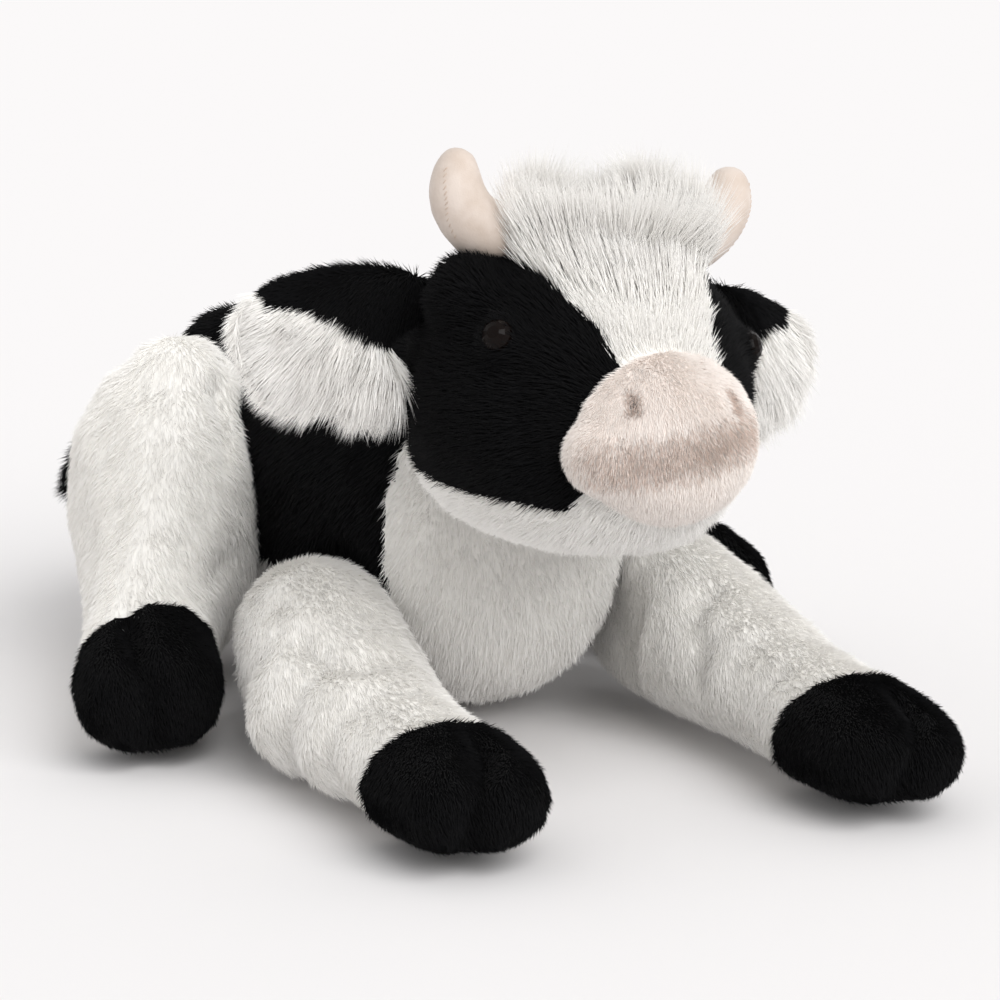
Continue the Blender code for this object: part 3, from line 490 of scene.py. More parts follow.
# Creases that are pressed into the skins: points in millimetres, depth and width
MUZZLE_CREASES = (
    ([(-10.5, -193.5, 190), (-11.5, -197, 184.5)], 2.0, 3.8),
    ([(34.5, -193.5, 185), (35.5, -197, 179.5)], 1.5, 3.8),
    ([(-23, -194, 162), (-8, -205, 162), (14, -207, 165), (30, -204, 168), (43, -196, 169)],
     0.5, 6.0),
)
HOOF_CREASES = {
    "fore_hoof_right": ([(-71, -178, 60), (-74, -189, 51.5), (-83, -210, 46), (-87, -218, 36.5),
                         (-92, -218, 25), (-92, -210, 6)], 8.0, 7.0),
    "fore_hoof_left": ([(114, -205, 51), (110.6, -221.4, 48.2), (105, -235, 42),
                        (101, -239, 30.5), (96.5, -237.7, 20), (96, -228, 4)], 8.0, 7.0),
    "hind_hoof_right": ([(-153, 5, 64), (-156.4, -8.4, 59.4), (-156.6, -21.6, 53),
                         (-156, -28.3, 44.3), (-154, -30, 33), (-153, -26, 12)], 8.0, 7.0),
    "hind_hoof_left": ([(152, 22, 57), (153, 12, 52), (153, 7, 40), (152, 6, 26),
                        (151, 12, 8)], 7.0, 7.0),
}
LEG_CREASES = {
    "foreleg_right": (([(-104, -70, 66), (-99, -91, 65), (-90, -102, 64), (-77, -99, 66)],
                       4.5, 7.0),),
    "foreleg_left": (([(88, -84, 66), (74, -90, 64), (70, -105, 52), (65, -108, 37)],
                      4.0, 7.0),),
    "hind_leg_right": (([(-60, 122, 146), (-67, 109, 141), (-73, 83, 128), (-79, 64, 114)],
                        5.5, 6.0),
                       ([(-56, 56, 98), (-58, 52, 84), (-62, 46, 68), (-72, 38, 50)],
                        9.0, 14.0),
                       ([(-60, 96, 150), (-68, 84, 142), (-76, 66, 132)], 3.5, 5.0),
                       ([(-62, 54, 74), (-83, 47, 71), (-104, 44, 66)], 5.0, 8.0)),
    "hind_leg_left": (([(80, 122, 146), (87, 100, 138), (97, 74, 124)], 5.0, 6.0),
                      ([(82, 62, 74), (102, 55, 71), (122, 52, 66)], 4.0, 8.0)),
}
FACE_CREASES = (
    ([(-52, -146, 192), (-45, -152, 195), (-38, -156, 193)], 2.0, 5.0),
    ([(64, -142, 178), (60, -149, 181), (54, -154, 180)], 2.0, 5.0),
    ([(-46, -160, 184), (-44, -166, 168), (-42, -168, 152)], 2.5, 7.0),
)


def make_skin(name, body, sources, replaced, swell, lumps=(), creases=(), fine=False, rounds=12,
              uneven=0.0, backings=("white_backing",),
              hulled=False):
    """A padded skin over CAD forms: drawn on a grid, smoothed, swollen and creased."""
    form = hull_form(sources) if hulled else node_form(sources)
    for place, radius in lumps:
        bmesh.ops.create_icosphere(form, subdivisions=3, radius=radius * MM,
                                   matrix=Matrix.Translation(Vector(place) * MM))
    mesh = bpy.data.meshes.new(name)
    form.to_mesh(mesh)
    form.free()
    draft = link(name, mesh)
    grid = draft.modifiers.new("Grid", "REMESH")
    grid.mode = "VOXEL"
    grid.voxel_size = looks().fine_voxel if fine else looks().voxel
    ease = draft.modifiers.new("Ease", "SMOOTH")
    ease.factor = 0.5
    ease.iterations = rounds
    mesh = settled(draft, name)
    form = bmesh.new()
    form.from_mesh(mesh)
    largest_shell(form)
    form.normal_update()
    for vertex, normal in [(vertex, vertex.normal.copy()) for vertex in form.verts]:
        vertex.co += normal * swell * MM
    if uneven:
        ripple(form, uneven, RIPPLE_SIZE)
    for path, depth, width in creases:
        press(form, path, depth, width)
    for vertex in form.verts:
        vertex.co.z = max(vertex.co.z, SKIN_LIFT)
    bmesh.ops.smooth_vert(form, verts=form.verts, factor=0.5, use_axis_x=True,
                          use_axis_y=True, use_axis_z=True)
    bmesh.ops.recalc_face_normals(form, faces=form.faces)
    form.to_mesh(mesh)
    form.free()
    for backing in backings:
        mesh.materials.append(MATERIALS[backing])
    mesh.shade_smooth()
    skin = link(name, mesh)
    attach(skin, body)
    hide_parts(*replaced)
    return skin


def seam_points(skin, way, low, high, steps):
    """Points from low to high, in millimetres, on the side of the skin that faces one way."""
    way = Vector(way)
    points = []
    for step in range(steps + 1):
        level = (low + (high - low) * step / steps) * MM
        ring = [vertex.co for vertex in skin.data.vertices if abs(vertex.co.z - level) < SEAM_BAND]
        points.append(max(ring, key=way.dot).copy())
    for _ in range(3):
        points[1:-1] = [(before + point + after) / 3 for before, point, after
                        in zip(points, points[1:], points[2:])]
    return points


def sew(name, points, out, body):
    """Sews slanted stitches of thread over a seam that runs through these points."""
    look = looks()
    form = bmesh.new()
    for start, end in zip(points, points[1:]):
        along = (end - start).normalized()
        across = along.cross(out).normalized()
        slant = along + across * STITCH_SLANT_SHARE
        laid = slant.to_track_quat("Z", "Y").to_matrix().to_4x4()
        shape = Matrix.Diagonal((1.0, 1.0, look.stitch_length / look.thread_width, 1.0))
        lift = out * look.thread_width * STITCH_LIFT_SHARE
        place = Matrix.Translation((start + end) / 2 + lift)
        bmesh.ops.create_uvsphere(form, u_segments=8, v_segments=6,
                                  radius=look.thread_width / 2, matrix=place @ laid @ shape)
    mesh = bpy.data.meshes.new(name)
    form.to_mesh(mesh)
    form.free()
    mesh.materials.append(MATERIALS["thread"])
    mesh.shade_smooth()
    stitches = link(name, mesh)
    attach(stitches, body)


def colour_share(point, dark, pale, bias):
    """0 on the dark cloth and 1 on the pale, with a soft uneven line between."""
    to_dark = dark.find_nearest(point)[3] - bias * MM
    to_pale = pale.find_nearest(point)[3]
    waver = noise.noise(point / WAVER_SIZE) * WAVER_DEPTH
    return max(0.0, min(1.0, 0.5 + (to_dark - to_pale + waver) / (2 * SEAM_BLEND)))


def write_values(skin, name, values):
    """Stores one number for each vertex of the skin."""
    mesh = skin.data
    kept = mesh.attributes.get(name) or mesh.attributes.new(name, "FLOAT", "POINT")
    kept.data.foreach_set("value", values)


def paint(skin, flow, dark_nodes, pale_nodes, bias=0.0, spots=()):
    """Gives each vertex the colour of the CAD panel under the tips of its pile."""
    dark = node_tree(dark_nodes)
    pale = node_tree(pale_nodes)
    shares = []
    for vertex in skin.data.vertices:
        way = flow(vertex.co)
        way = (way - vertex.normal * way.dot(vertex.normal)).normalized()
        share = colour_share(vertex.co + way * PILE_OVERHANG, dark, pale, bias)
        for place, radius in spots:
            if (vertex.co - Vector(place) * MM).length < radius * MM:
                share = 1.0
        shares.append(share)
    write_values(skin, "pale", shares)
    write_values(skin, "dark", [1 - share for share in shares])
    for face in skin.data.polygons:
        mean = sum(shares[corner] for corner in face.vertices) / len(face.vertices)
        face.material_index = 0 if mean > 0.5 else 1


def comb(skin, flow, clear=(), others=(), short=(), bare=None, dressed=None):
    """Stores which way the pile lies, how long it is and where it grows."""
    trees = [BVHTree.FromPolygons([v.co for v in other.data.vertices],
                                  [tuple(f.vertices) for f in other.data.polygons])
             for other in others]
    mesh = skin.data
    ways, covers, hairs = [], [], []
    for vertex in mesh.vertices:
        point, normal = vertex.co, vertex.normal
        way = flow(point)
        way = way - normal * way.dot(normal)
        way = way.normalized() if way.length > 1e-6 else normal.orthogonal().normalized()
        ways.extend(way)
        cover = 1.0
        if normal.z < RESTING_TURN and point.z < RESTING_HEIGHT:
            cover = RESTING_SHARE
        for place, radius in clear:
            if (point - place).length < radius * MM:
                cover = 0.0
        for tree in trees:
            near, outward, _, gap = tree.find_nearest(point)
            behind = (point - near).dot(outward) < -0.8 * gap
            if behind and LEAST_DEPTH < gap < MOST_DEPTH:
                cover = 0.0
        if bare and bare.find_nearest(point)[3] < dressed.find_nearest(point)[3]:
            cover = 0.0
        covers.append(cover)
        hair = 1.0
        for place, radius, share in short:
            near = (point - place).length / (radius * MM)
            hair = min(hair, share + (1 - share) * max(0.0, min(1.0, near - 0.6)))
        hairs.append(hair)
    kept = mesh.attributes.get("comb") or mesh.attributes.new("comb", "FLOAT_VECTOR", "POINT")
    kept.data.foreach_set("vector", ways)
    write_values(skin, "cover", covers)
    write_values(skin, "hair", hairs)


def shade_mouth(skin):
    """Marks the muzzle's brown mouth band, and the nostrils, whose brown is painted shade in their
    dents.
    """
    band = [Vector(point) * MM for point in MUZZLE_CREASES[2][0]]
    nostrils = [[Vector(point) * MM for point in crease[0]] for crease in MUZZLE_CREASES[:2]]
    shares = []
    for vertex in skin.data.vertices:
        mouth = math.exp(-(along_path(vertex.co, band) / MOUTH_WIDTH) ** 2)
        nostril = max(math.exp(-(along_path(vertex.co, path) / NOSTRIL_WIDTH) ** 2)
                      for path in nostrils)
        shares.append(max(MOUTH_SHARE * mouth, NOSTRIL_SHADE_SHARE * nostril))
    write_values(skin, "dark", shares)
    write_values(skin, "pale", [1 - share for share in shares])


PILE_INPUTS = (("Density", "NodeSocketFloat"), ("Width", "NodeSocketFloat"),
               ("Length", "NodeSocketFloat"), ("Rise", "NodeSocketFloat"),
               ("Scatter", "NodeSocketFloat"), ("Clump", "NodeSocketFloat"),
               ("Clump size", "NodeSocketFloat"), ("Curl", "NodeSocketFloat"),
               ("Rings", "NodeSocketInt"), ("Seed", "NodeSocketInt"),
               ("Floor", "NodeSocketFloat"), ("Material", "NodeSocketMaterial"))

# What the pile's tree reads from the skin, its feet and its strands
PILE_READS = {"cover": "FLOAT", "grown": "FLOAT", "hair": "FLOAT", "comb": "FLOAT_VECTOR",
              "skin_normal": "FLOAT_VECTOR", "droop": "FLOAT_VECTOR", "tint": "FLOAT",
              "along": "FLOAT", "side": "FLOAT"}

# Chance values of a strand: kind, least, most and what is added to the seed
PILE_CHANCES = {"grown": ("FLOAT", GROWN_FROM_SHARE, GROWN_TO_SHARE, 4),
                "tint": ("FLOAT", 0.03, 0.97, 1),
                "ruffle": ("FLOAT_VECTOR", (-1.0, -1.0, -1.0), (1.0, 1.0, 1.0), 2),
                "reach": ("FLOAT", 0.72, 1.12, 3)}


def pile_tree():
    """Node tree that grows closed, tapered strands from a skin along its comb direction."""
    tree = bpy.data.node_groups.new("Pile", "GeometryNodeTree")
    tree.interface.new_socket("Skin", in_out="INPUT", socket_type="NodeSocketGeometry")
    for name, kind in PILE_INPUTS:
        tree.interface.new_socket(name, in_out="INPUT", socket_type=kind)
    tree.interface.new_socket("Pile", in_out="OUTPUT", socket_type="NodeSocketGeometry")
    add = partial(add_node, tree)
    given = add("NodeGroupInput").outputs
    position = add("GeometryNodeInputPosition")
    read = {name: add("GeometryNodeInputNamedAttribute", {"Name": name}, data_type=kind)
            for name, kind in PILE_READS.items()}
    chance = {}
    for name, (kind, least, most, extra) in PILE_CHANCES.items():
        seed = add("ShaderNodeMath", {0: given["Seed"], 1: extra}, operation="ADD")
        chance[name] = add("FunctionNodeRandomValue",
                           {"Min": least, "Max": most, "Seed": seed}, data_type=kind)

    # Feet of the strands, spread over the skin of the colour that is grown
    density = add("ShaderNodeMath", {0: given["Density"], 1: read["cover"]},
                  operation="MULTIPLY")
    spread = add("GeometryNodeDistributePointsOnFaces",
                 {"Mesh": given["Skin"], "Density": density, "Seed": given["Seed"]})
    chosen = add("ShaderNodeMath", {0: read["grown"], 1: chance["grown"]},
                 operation="GREATER_THAN")
    feet = add("GeometryNodeSeparateGeometry", {"Geometry": spread, "Selection": chosen})

    # Lean of each strand: combed, raised, drawn into clumps and ruffled
    size = add("ShaderNodeMath", {0: 1.0, 1: given["Clump size"]}, operation="DIVIDE")
    wave = add("ShaderNodeTexNoise", {"Vector": position, "Scale": size, "Detail": 1.0})
    wave = add("ShaderNodeVectorMath", {0: wave.outputs["Color"], 1: (0.5, 0.5, 0.5)},
               operation="SUBTRACT")
    drawn = add("ShaderNodeMath", {0: given["Clump"], 1: 2.0}, operation="MULTIPLY")
    lean = read["comb"]
    for way, share in ((read["skin_normal"], given["Rise"]), (wave, drawn),
                       (chance["ruffle"], given["Scatter"])):
        part = add("ShaderNodeVectorMath", {"Vector": way, "Scale": share}, operation="SCALE")
        lean = add("ShaderNodeVectorMath", {0: lean, 1: part}, operation="ADD")
    lean = add("ShaderNodeVectorMath", {0: lean}, operation="NORMALIZE")

    # Length of each strand, and how far its tip droops
    reach = given["Length"]
    for share in (read["hair"], chance["reach"]):
        reach = add("ShaderNodeMath", {0: reach, 1: share}, operation="MULTIPLY")
    fall = add("ShaderNodeVectorMath", {0: read["comb"], 1: (0.0, 0.0, 0.5)},
               operation="SUBTRACT")
    far = add("ShaderNodeMath", {0: reach, 1: given["Curl"]}, operation="MULTIPLY")
    droop = add("ShaderNodeVectorMath", {"Vector": fall, "Scale": far}, operation="SCALE")
    for name, value, kind in (("skin_normal", spread.outputs["Normal"], "FLOAT_VECTOR"),
                              ("tint", chance["tint"], "FLOAT"),
                              ("droop", droop, "FLOAT_VECTOR")):
        feet = add("GeometryNodeStoreNamedAttribute",
                   {"Geometry": feet, "Name": name, "Value": value}, data_type=kind)

    # One strand, a tapered sliver of unit length
    half = add("ShaderNodeMath", {0: given["Width"], 1: 0.5}, operation="MULTIPLY")
    strand = add("GeometryNodeMeshCone",
                 {"Vertices": 3, "Side Segments": given["Rings"], "Radius Top": 0.0,
                  "Radius Bottom": half, "Depth": 1.0})
    spot = add("ShaderNodeSeparateXYZ", {"Vector": position}).outputs
    side = add("ShaderNodeMath", {0: spot["Y"], 1: 0.5, 2: spot["X"]}, operation="MULTIPLY_ADD")
    side = add("ShaderNodeMath", {0: side, 1: given["Width"]}, operation="DIVIDE")
    for name, value in (("along", spot["Z"]), ("side", side)):
        strand = add("GeometryNodeStoreNamedAttribute",
                     {"Geometry": strand, "Name": name, "Value": value})

    # A strand on every foot
    turn = add("FunctionNodeAlignRotationToVector", {"Vector": lean}, axis="Z")
    scale = add("ShaderNodeCombineXYZ", {"X": 1.0, "Y": 1.0, "Z": reach})
    grown = add("GeometryNodeInstanceOnPoints",
                {"Points": feet, "Instance": strand, "Rotation": turn, "Scale": scale})
    pile = add("GeometryNodeRealizeInstances", {"Geometry": grown})

    # The tips droop, and nothing goes through the floor
    along = add("ShaderNodeMath", {0: read["along"], 1: 0.0}, operation="MAXIMUM")
    bend = add("ShaderNodeMath", {0: along, 1: 2.0}, operation="POWER")
    sunk = add("ShaderNodeVectorMath", {"Vector": read["droop"], "Scale": bend},
               operation="SCALE")
    pile = add("GeometryNodeSetPosition", {"Geometry": pile, "Offset": sunk})
    height = add("ShaderNodeMath", {0: spot["Z"], 1: given["Floor"]}, operation="MAXIMUM")
    above = add("ShaderNodeCombineXYZ", {"X": spot["X"], "Y": spot["Y"], "Z": height})
    pile = add("GeometryNodeSetPosition", {"Geometry": pile, "Position": above})

    # Across: the strand's own tint. Up: foot to tip. Its sides lie a little apart.
    across = add("ShaderNodeMath", {0: read["side"], 1: 0.01, 2: read["tint"]},
                 operation="MULTIPLY_ADD")
    edge = add("ShaderNodeMath", {0: read["side"], 1: 0.01, 2: 0.03},
               operation="MULTIPLY_ADD")
    upward = add("ShaderNodeMath", {0: read["along"], 1: 0.94, 2: edge},
                 operation="MULTIPLY_ADD")
    sheet = add("ShaderNodeCombineXYZ", {"X": across, "Y": upward})
    for name in ("Strand", "OFBake"):
        pile = add("GeometryNodeStoreNamedAttribute",
                   {"Geometry": pile, "Name": name, "Value": sheet},
                   data_type="FLOAT2", domain="CORNER")
    pile = add("GeometryNodeSetMaterial", {"Geometry": pile, "Material": given["Material"]})

    # Strands take most of their shading from the skin, which makes the pile look soft
    broad = add("ShaderNodeVectorMath", {"Vector": read["skin_normal"], "Scale": 1.6},
                operation="SCALE")
    own = add("GeometryNodeInputNormal")
    soft = add("ShaderNodeVectorMath", {0: broad, 1: own}, operation="ADD")
    soft = add("ShaderNodeVectorMath", {0: soft}, operation="NORMALIZE")
    pile = add("GeometryNodeSetMeshNormal", {"Mesh": pile}, mode="FREE")
    tree.links.new(main_output(soft), pile.inputs["Custom Normal"])
    add("NodeGroupOutput", {"Pile": pile})
    return tree


def grown_area(mesh):
    """Area of the skin on which strands of this colour grow, weighed by cover."""
    covers = [value.value for value in mesh.attributes["cover"].data]
    shares = [value.value for value in mesh.attributes["grown"].data]
    total = 0.0
    for face in mesh.polygons:
        corners = face.vertices
        mean = sum(shares[corner] for corner in corners) / len(corners)
        grown = (mean - GROWN_FROM_SHARE) / (GROWN_TO_SHARE - GROWN_FROM_SHARE)
        grown = max(0.0, min(1.0, grown))
        total += grown * face.area * sum(covers[corner] for corner in corners) / len(corners)
    return total


def grow(skin, name, body, shade, strands, share="", reach=8.0, rise=0.5, clump=0.4,
         clump_size=14.0, curl=0.0, rings=1, width=None):
    """Grows one colour of pile on a skin, as a piece of its own that rides with it."""
    look = looks()
    mesh = skin.data.copy()
    shares = [1.0] * len(mesh.vertices)
    if share:
        shares = [value.value for value in mesh.attributes[share].data]
    mesh.attributes.new("grown", "FLOAT", "POINT").data.foreach_set("value", shares)
    density = strands / grown_area(mesh)
    tree = bpy.data.node_groups.get("Pile") or pile_tree()
    draft = link(name, mesh)
    modifier = draft.modifiers.new("Pile", "NODES")
    modifier.node_group = tree
    values = {"Density": density, "Width": width or look.strand_width, "Length": reach * MM,
              "Rise": rise, "Scatter": look.scatter, "Clump": clump,
              "Clump size": clump_size * MM, "Curl": curl, "Rings": rings, "Seed": look.seed,
              "Floor": look.floor_gap, "Material": MATERIALS[shade]}
    for item in tree.interface.items_tree:
        if item.name in values:
            modifier[item.identifier] = values[item.name]
    mesh = settled(draft, name)
    for extra in (*PILE_READS, "pale", "dark", "crown"):
        if extra in mesh.attributes:
            mesh.attributes.remove(mesh.attributes[extra])
    pile = link(name, mesh)
    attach(pile, body)


class PLUSH_OT_body(bpy.types.Operator):
    """Makes the padded skin of the body."""

    bl_idname = "plush_cow.body"
    bl_label = "Body skin"

    def execute(self, context):
        skin = make_skin("body_skin", "body", ["body_filling"],
                         ["body_saddle_right", "body_saddle_left", "body_chest_bib",
                          "body_belly_panel", "body_rump_panel", "body_filling"],
                         swell=0.6, uneven=1.2, lumps=BACK_LUMPS,
                         backings=("white_backing", "black_backing"))
        paint(skin, BODY_FLOW, ["body_saddle_right", "body_saddle_left"],
              ["body_chest_bib", "body_belly_panel", "body_rump_panel"])
        return {"FINISHED"}


class PLUSH_OT_head(bpy.types.Operator):
    """Makes the padded skins of the head and the muzzle."""

    bl_idname = "plush_cow.head"
    bl_label = "Head skins"

    def execute(self, context):
        washers = [middle("eye_washer_right") / MM, middle("eye_washer_left") / MM]
        lumps = [*CROWN_LUMPS, *((washer, EYE_LUMP_RADIUS) for washer in washers)]
        skin = make_skin("head_skin", "head", ["head_filling"],
                         ["head_face_right", "head_face_left", "head_blaze", "head_jaw_ruff",
                          "head_forelock", "head_filling"],
                         swell=0.8, lumps=lumps, uneven=0.8, creases=FACE_CREASES,
                         backings=("white_backing", "black_backing"))
        paint(skin, HEAD_FLOW, ["head_face_right", "head_face_left"],
              ["head_blaze", "head_jaw_ruff", "head_forelock"], spots=JAW_SPOTS)
        make_skin("muzzle_skin", "head", ["head_muzzle"], ["head_muzzle"], swell=-0.8,
                  fine=True, rounds=16, hulled=True, lumps=MUZZLE_LUMPS,
                  creases=MUZZLE_CREASES, backings=("nose_backing",))
        return {"FINISHED"}


class PLUSH_OT_ears(bpy.types.Operator):
    """Makes the ears: a black back and a white lining, sewn edge to edge."""

    bl_idname = "plush_cow.ears"
    bl_label = "Ears"

    def execute(self, context):
        for side in ("right", "left"):
            nodes = [f"ear_{side}_back", f"ear_{side}_lining"]
            skin = make_skin(f"ear_{side}_skin", f"ear_{side}", nodes, nodes, swell=-1.8,
                             fine=True, rounds=16, lumps=EAR_LUMPS[side],
                             creases=EAR_CREASES[side],
                             backings=("white_backing", "black_backing"))
            paint(skin, EAR_FLOWS[side], nodes[:1], nodes[1:], bias=4.0,
                  spots=EAR_SPOTS[side])
        return {"FINISHED"}


class PLUSH_OT_legs(bpy.types.Operator):
    """Makes the four padded legs."""

    bl_idname = "plush_cow.legs"
    bl_label = "Legs"

    def execute(self, context):
        for leg, hoof in HOOF_OF.items():
            make_skin(f"{leg}_skin", leg, [f"{leg}_filling"], [leg, f"{leg}_filling"],
                      swell=0.6, uneven=1.2, lumps=LEG_LUMPS.get(leg, []),
                      creases=[*LEG_CREASES[leg], HOOF_CREASES[hoof]])
        return {"FINISHED"}


class PLUSH_OT_hooves(bpy.types.Operator):
    """Makes the four padded black hooves."""

    bl_idname = "plush_cow.hooves"
    bl_label = "Hooves"

    def execute(self, context):
        for leg, hoof in HOOF_OF.items():
            make_skin(f"{hoof}_skin", leg, [hoof], [hoof], swell=-1.2, fine=True, rounds=8,
                      hulled=True, creases=[HOOF_CREASES[hoof]],
                      backings=("black_backing",))
        return {"FINISHED"}


class PLUSH_OT_tail(bpy.types.Operator):
    """Makes the tail and its tuft."""

    bl_idname = "plush_cow.tail"
    bl_label = "Tail"

    def execute(self, context):
        make_skin("tail_skin", "tail", ["tail"], ["tail"], swell=-2.5, fine=True)
        make_skin("tuft_skin", "tail", ["tail_tuft"], ["tail_tuft"], swell=-2.0, fine=True,
                  backings=("black_backing",))
        return {"FINISHED"}


class PLUSH_OT_horns(bpy.types.Operator):
    """Makes the sueded horns and sews the stitches of their outer seams."""

    bl_idname = "plush_cow.horns"
    bl_label = "Horns"

    def execute(self, context):
        for side in ("right", "left"):
            name = f"horn_{side}"
            way, low, high = HORN_SEAMS[side]
            skin = make_skin(f"{name}_skin", "head", [f"{name}_filling"],
                             [name, f"{name}_filling"], swell=2.9, fine=True, rounds=4,
                             uneven=0.5, backings=("suede",))
            points = seam_points(skin, way, low, high, STITCHES)
            sew(f"{name}_stitches", points, Vector(way).normalized(), "head")
        return {"FINISHED"}


class PLUSH_OT_eyes(bpy.types.Operator):
    """Gives the eyes and their washers their plastics."""

    bl_idname = "plush_cow.eyes"
    bl_label = "Eyes"

    def execute(self, context):
        for side in ("right", "left"):
            for name, shade in ((f"eye_{side}", "eye"), (f"eye_washer_{side}", "washer")):
                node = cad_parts[name]
                for slot in range(len(node.data.materials)):
                    node.data.materials[slot] = MATERIALS[shade]
        return {"FINISHED"}


class PLUSH_OT_body_pile(bpy.types.Operator):
    """Grows the pile of the body."""

    bl_idname = "plush_cow.body_pile"
    bl_label = "Body pile"

    def execute(self, context):
        skin = bpy.data.objects["body_skin"]
        comb(skin, BODY_FLOW,
             others=skins("head", "foreleg_right", "foreleg_left", "hind_leg_right",
                          "hind_leg_left"))
        grow(skin, "body_white_pile", "body", "white_pile", strands=33000, share="pale",
             reach=6.5)
        grow(skin, "body_black_pile", "body", "black_pile", strands=32000, share="dark",
             reach=6.5)
        return {"FINISHED"}


class PLUSH_OT_head_pile(bpy.types.Operator):
    """Grows the pile of the head, the muzzle and the forelock."""

    bl_idname = "plush_cow.head_pile"
    bl_label = "Head pile"

    def execute(self, context):
        eyes = [middle("eye_right"), middle("eye_left")]
        skin = bpy.data.objects["head_skin"]
        crown = node_tree(["head_forelock"])
        comb(skin, crowned(crown), clear=[(eye, EYE_CLEAR_RADIUS) for eye in eyes],
             short=[(eye, EYE_SHORT_RADIUS, EYE_SHORT_SHARE) for eye in eyes],
             others=skins("body"),
             bare=node_tree(["head_muzzle"]),
             dressed=node_tree(["head_face_right", "head_face_left", "head_blaze",
                                "head_jaw_ruff", "head_forelock"]))
        grow(skin, "head_white_pile", "head", "white_pile", strands=30000, share="pale",
             reach=7.5)
        grow(skin, "head_black_pile", "head", "black_pile", strands=34000, share="dark",
             reach=6.5)
        shares = [towards_crown(vertex.co, crown) for vertex in skin.data.vertices]
        write_values(skin, "crown", shares)
        write_values(skin, "hair", [0.3 + 0.7 * share for share in shares])
        grow(skin, "forelock_hair", "head", "white_pile", strands=11000, share="crown",
             reach=31, rise=0.6, clump=0.5, clump_size=12, curl=0.05, rings=2,
             width=looks().hair_width)
        skin = bpy.data.objects["muzzle_skin"]
        comb(skin, MUZZLE_FLOW)
        shade_mouth(skin)
        # The mouth pile carries the brown mouth band and the nostrils' painted shade
        for name, shade, strands, share in (("muzzle_pile", "nose_pile", 32000, "pale"),
                                            ("mouth_pile", "mouth_pile", 7000, "dark")):
            grow(skin, name, "head", shade, strands, share, reach=3.4, rise=0.7, clump_size=9,
                 width=looks().muzzle_width)
        return {"FINISHED"}


class PLUSH_OT_ear_pile(bpy.types.Operator):
    """Grows the short pile on the ears' backs and the long hair of their linings."""

    bl_idname = "plush_cow.ear_pile"
    bl_label = "Ear pile"

    def execute(self, context):
        for side, flow in EAR_FLOWS.items():
            skin = bpy.data.objects[f"ear_{side}_skin"]
            comb(skin, flow, others=skins("head"), short=[EAR_SHORT[side]])
            grow(skin, f"ear_{side}_back_pile", f"ear_{side}", "black_pile", strands=11000,
                 share="dark", reach=7.0)
            grow(skin, f"ear_{side}_lining_hair", f"ear_{side}", "white_pile", strands=6500,
                 share="pale", reach=17, clump=0.6, clump_size=10, curl=0.15, rings=2,
                 width=looks().hair_width)
        return {"FINISHED"}


class PLUSH_OT_leg_pile(bpy.types.Operator):
    """Grows the white pile of the legs."""

    bl_idname = "plush_cow.leg_pile"
    bl_label = "Leg pile"

    def execute(self, context):
        for side in ("right", "left"):
            for leg, hoof, flow in (("foreleg", "fore_hoof", FORELEG_FLOW),
                                    ("hind_leg", "hind_hoof", HIND_LEG_FLOW)):
                skin = bpy.data.objects[f"{leg}_{side}_skin"]
                comb(skin, flow, others=skins("body", f"{hoof}_{side}"),
                     bare=node_tree([f"{hoof}_{side}"]), dressed=node_tree([f"{leg}_{side}"]))
                grow(skin, f"{leg}_{side}_pile", f"{leg}_{side}", "white_pile",
                     strands=32000, reach=6.0, rise=0.35)
        return {"FINISHED"}


class PLUSH_OT_hoof_pile(bpy.types.Operator):
    """Grows the black pile of the hooves."""

    bl_idname = "plush_cow.hoof_pile"
    bl_label = "Hoof pile"

    def execute(self, context):
        for side in ("right", "left"):
            for leg, hoof in (("foreleg", "fore_hoof"), ("hind_leg", "hind_hoof")):
                skin = bpy.data.objects[f"{hoof}_{side}_skin"]
                comb(skin, HOOF_FLOW, others=skins(f"{leg}_{side}"))
                grow(skin, f"{hoof}_{side}_pile", f"{leg}_{side}", "black_pile",
                     strands=12000, reach=4.2)
        return {"FINISHED"}


class PLUSH_OT_tail_pile(bpy.types.Operator):
    """Grows the pile of the tail and the long hair of its tuft."""

    bl_idname = "plush_cow.tail_pile"
    bl_label = "Tail pile"

    def execute(self, context):
        skin = bpy.data.objects["tail_skin"]
        comb(skin, TAIL_FLOW, others=skins("body"))
        grow(skin, "tail_pile", "tail", "white_pile", strands=5000, reach=6.0)
        skin = bpy.data.objects["tuft_skin"]
        comb(skin, TAIL_FLOW)
        grow(skin, "tuft_hair", "tail", "black_pile", strands=3500, reach=11, rise=0.6,
             curl=0.1, rings=2, width=looks().hair_width)
        return {"FINISHED"}


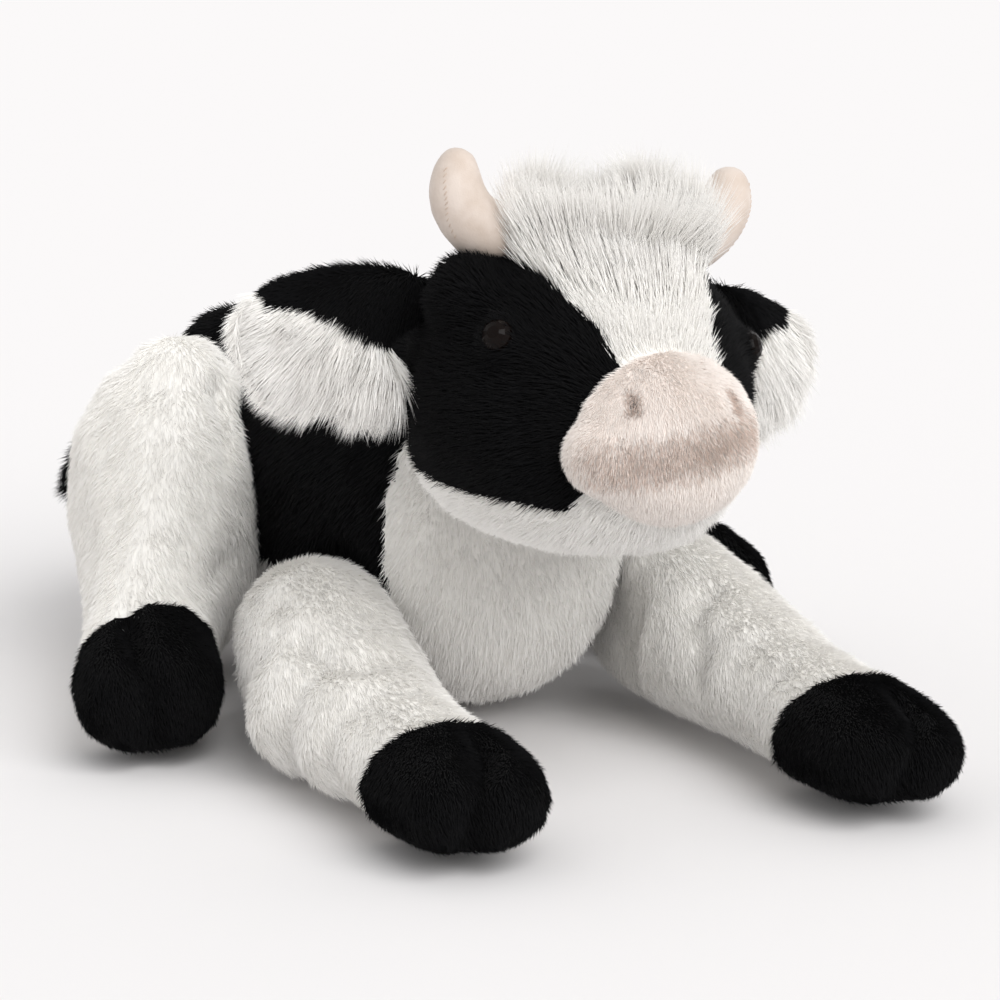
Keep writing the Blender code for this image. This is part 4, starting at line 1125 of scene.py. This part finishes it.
class PLUSH_OT_stage(bpy.types.Operator):
    """Sets up the materials, the floor, the soft light and the camera."""

    bl_idname = "plush_cow.stage"
    bl_label = "Stage"

    def execute(self, context):
        make_materials()
        scene = context.scene
        scene.view_settings.view_transform = "Standard"
        form = bmesh.new()
        bmesh.ops.create_grid(form, x_segments=1, y_segments=1, size=FLOOR_REACH)
        mesh = bpy.data.meshes.new("floor")
        form.to_mesh(mesh)
        form.free()
        mesh.materials.append(MATERIALS["floor"])
        floor = link("floor", mesh)

        world = bpy.data.worlds.new("studio")
        scene.world = world
        world.use_nodes = True
        sky = world.node_tree.nodes["Background"].inputs
        sky["Color"].default_value = (1.0, 1.0, 1.0, 1.0)
        sky["Strength"].default_value = SKY_STRENGTH

        lamp = bpy.data.lights.new("key", "SUN")
        lamp.energy = KEY_STRENGTH
        lamp.angle = KEY_SPREAD
        key = link("key", lamp)
        key.rotation_euler = Vector(KEY_WAY).to_track_quat("Z", "Y").to_euler()

        camera = bpy.data.cameras.new("camera")
        camera.lens = LENS
        camera.sensor_width = SENSOR_WIDTH
        camera.clip_start = 0.05
        camera.clip_end = 100
        eye = link("camera", camera)
        back = Vector((math.sin(AZIMUTH) * math.cos(ELEVATION),
                       -math.cos(AZIMUTH) * math.cos(ELEVATION), math.sin(ELEVATION)))
        eye.location = Vector(CAMERA_AIM) + back * CAMERA_DISTANCE
        eye.rotation_euler = (-back).to_track_quat("-Z", "Y").to_euler()
        scene.camera = eye
        return {"FINISHED"}


STEPS = (PLUSH_OT_stage, PLUSH_OT_body, PLUSH_OT_head, PLUSH_OT_ears, PLUSH_OT_legs,
         PLUSH_OT_hooves, PLUSH_OT_tail, PLUSH_OT_horns, PLUSH_OT_eyes, PLUSH_OT_body_pile,
         PLUSH_OT_head_pile, PLUSH_OT_ear_pile, PLUSH_OT_leg_pile, PLUSH_OT_hoof_pile,
         PLUSH_OT_tail_pile)


class PLUSH_PT_looks(bpy.types.Panel):
    """Sizes, colours and steps of the plush cow."""

    bl_label = "Plush cow"
    bl_idname = "PLUSH_PT_looks"
    bl_space_type = "VIEW_3D"
    bl_region_type = "UI"
    bl_category = "Plush cow"

    def draw(self, context):
        for name in CowLooks.__annotations__:
            self.layout.prop(context.scene.plush_cow, name)
        for step in STEPS:
            self.layout.operator(step.bl_idname)


CLASSES = (CowLooks, *STEPS, PLUSH_PT_looks)


def register():
    """Adds the classes and the scene's property."""
    for item in CLASSES:
        bpy.utils.register_class(item)
    bpy.types.Scene.plush_cow = PointerProperty(type=CowLooks)


def unregister():
    """Takes the classes and the scene's property away."""
    del bpy.types.Scene.plush_cow
    for item in reversed(CLASSES):
        bpy.utils.unregister_class(item)


def main():
    """Dresses the part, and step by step."""
    register()
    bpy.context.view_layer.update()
    for step in STEPS:
        group, name = step.bl_idname.split(".")
        if getattr(getattr(bpy.ops, group), name)() != {"FINISHED"}:
            raise RuntimeError(f"{step.bl_label} did not finish")


if __name__ == "__main__":
    main()
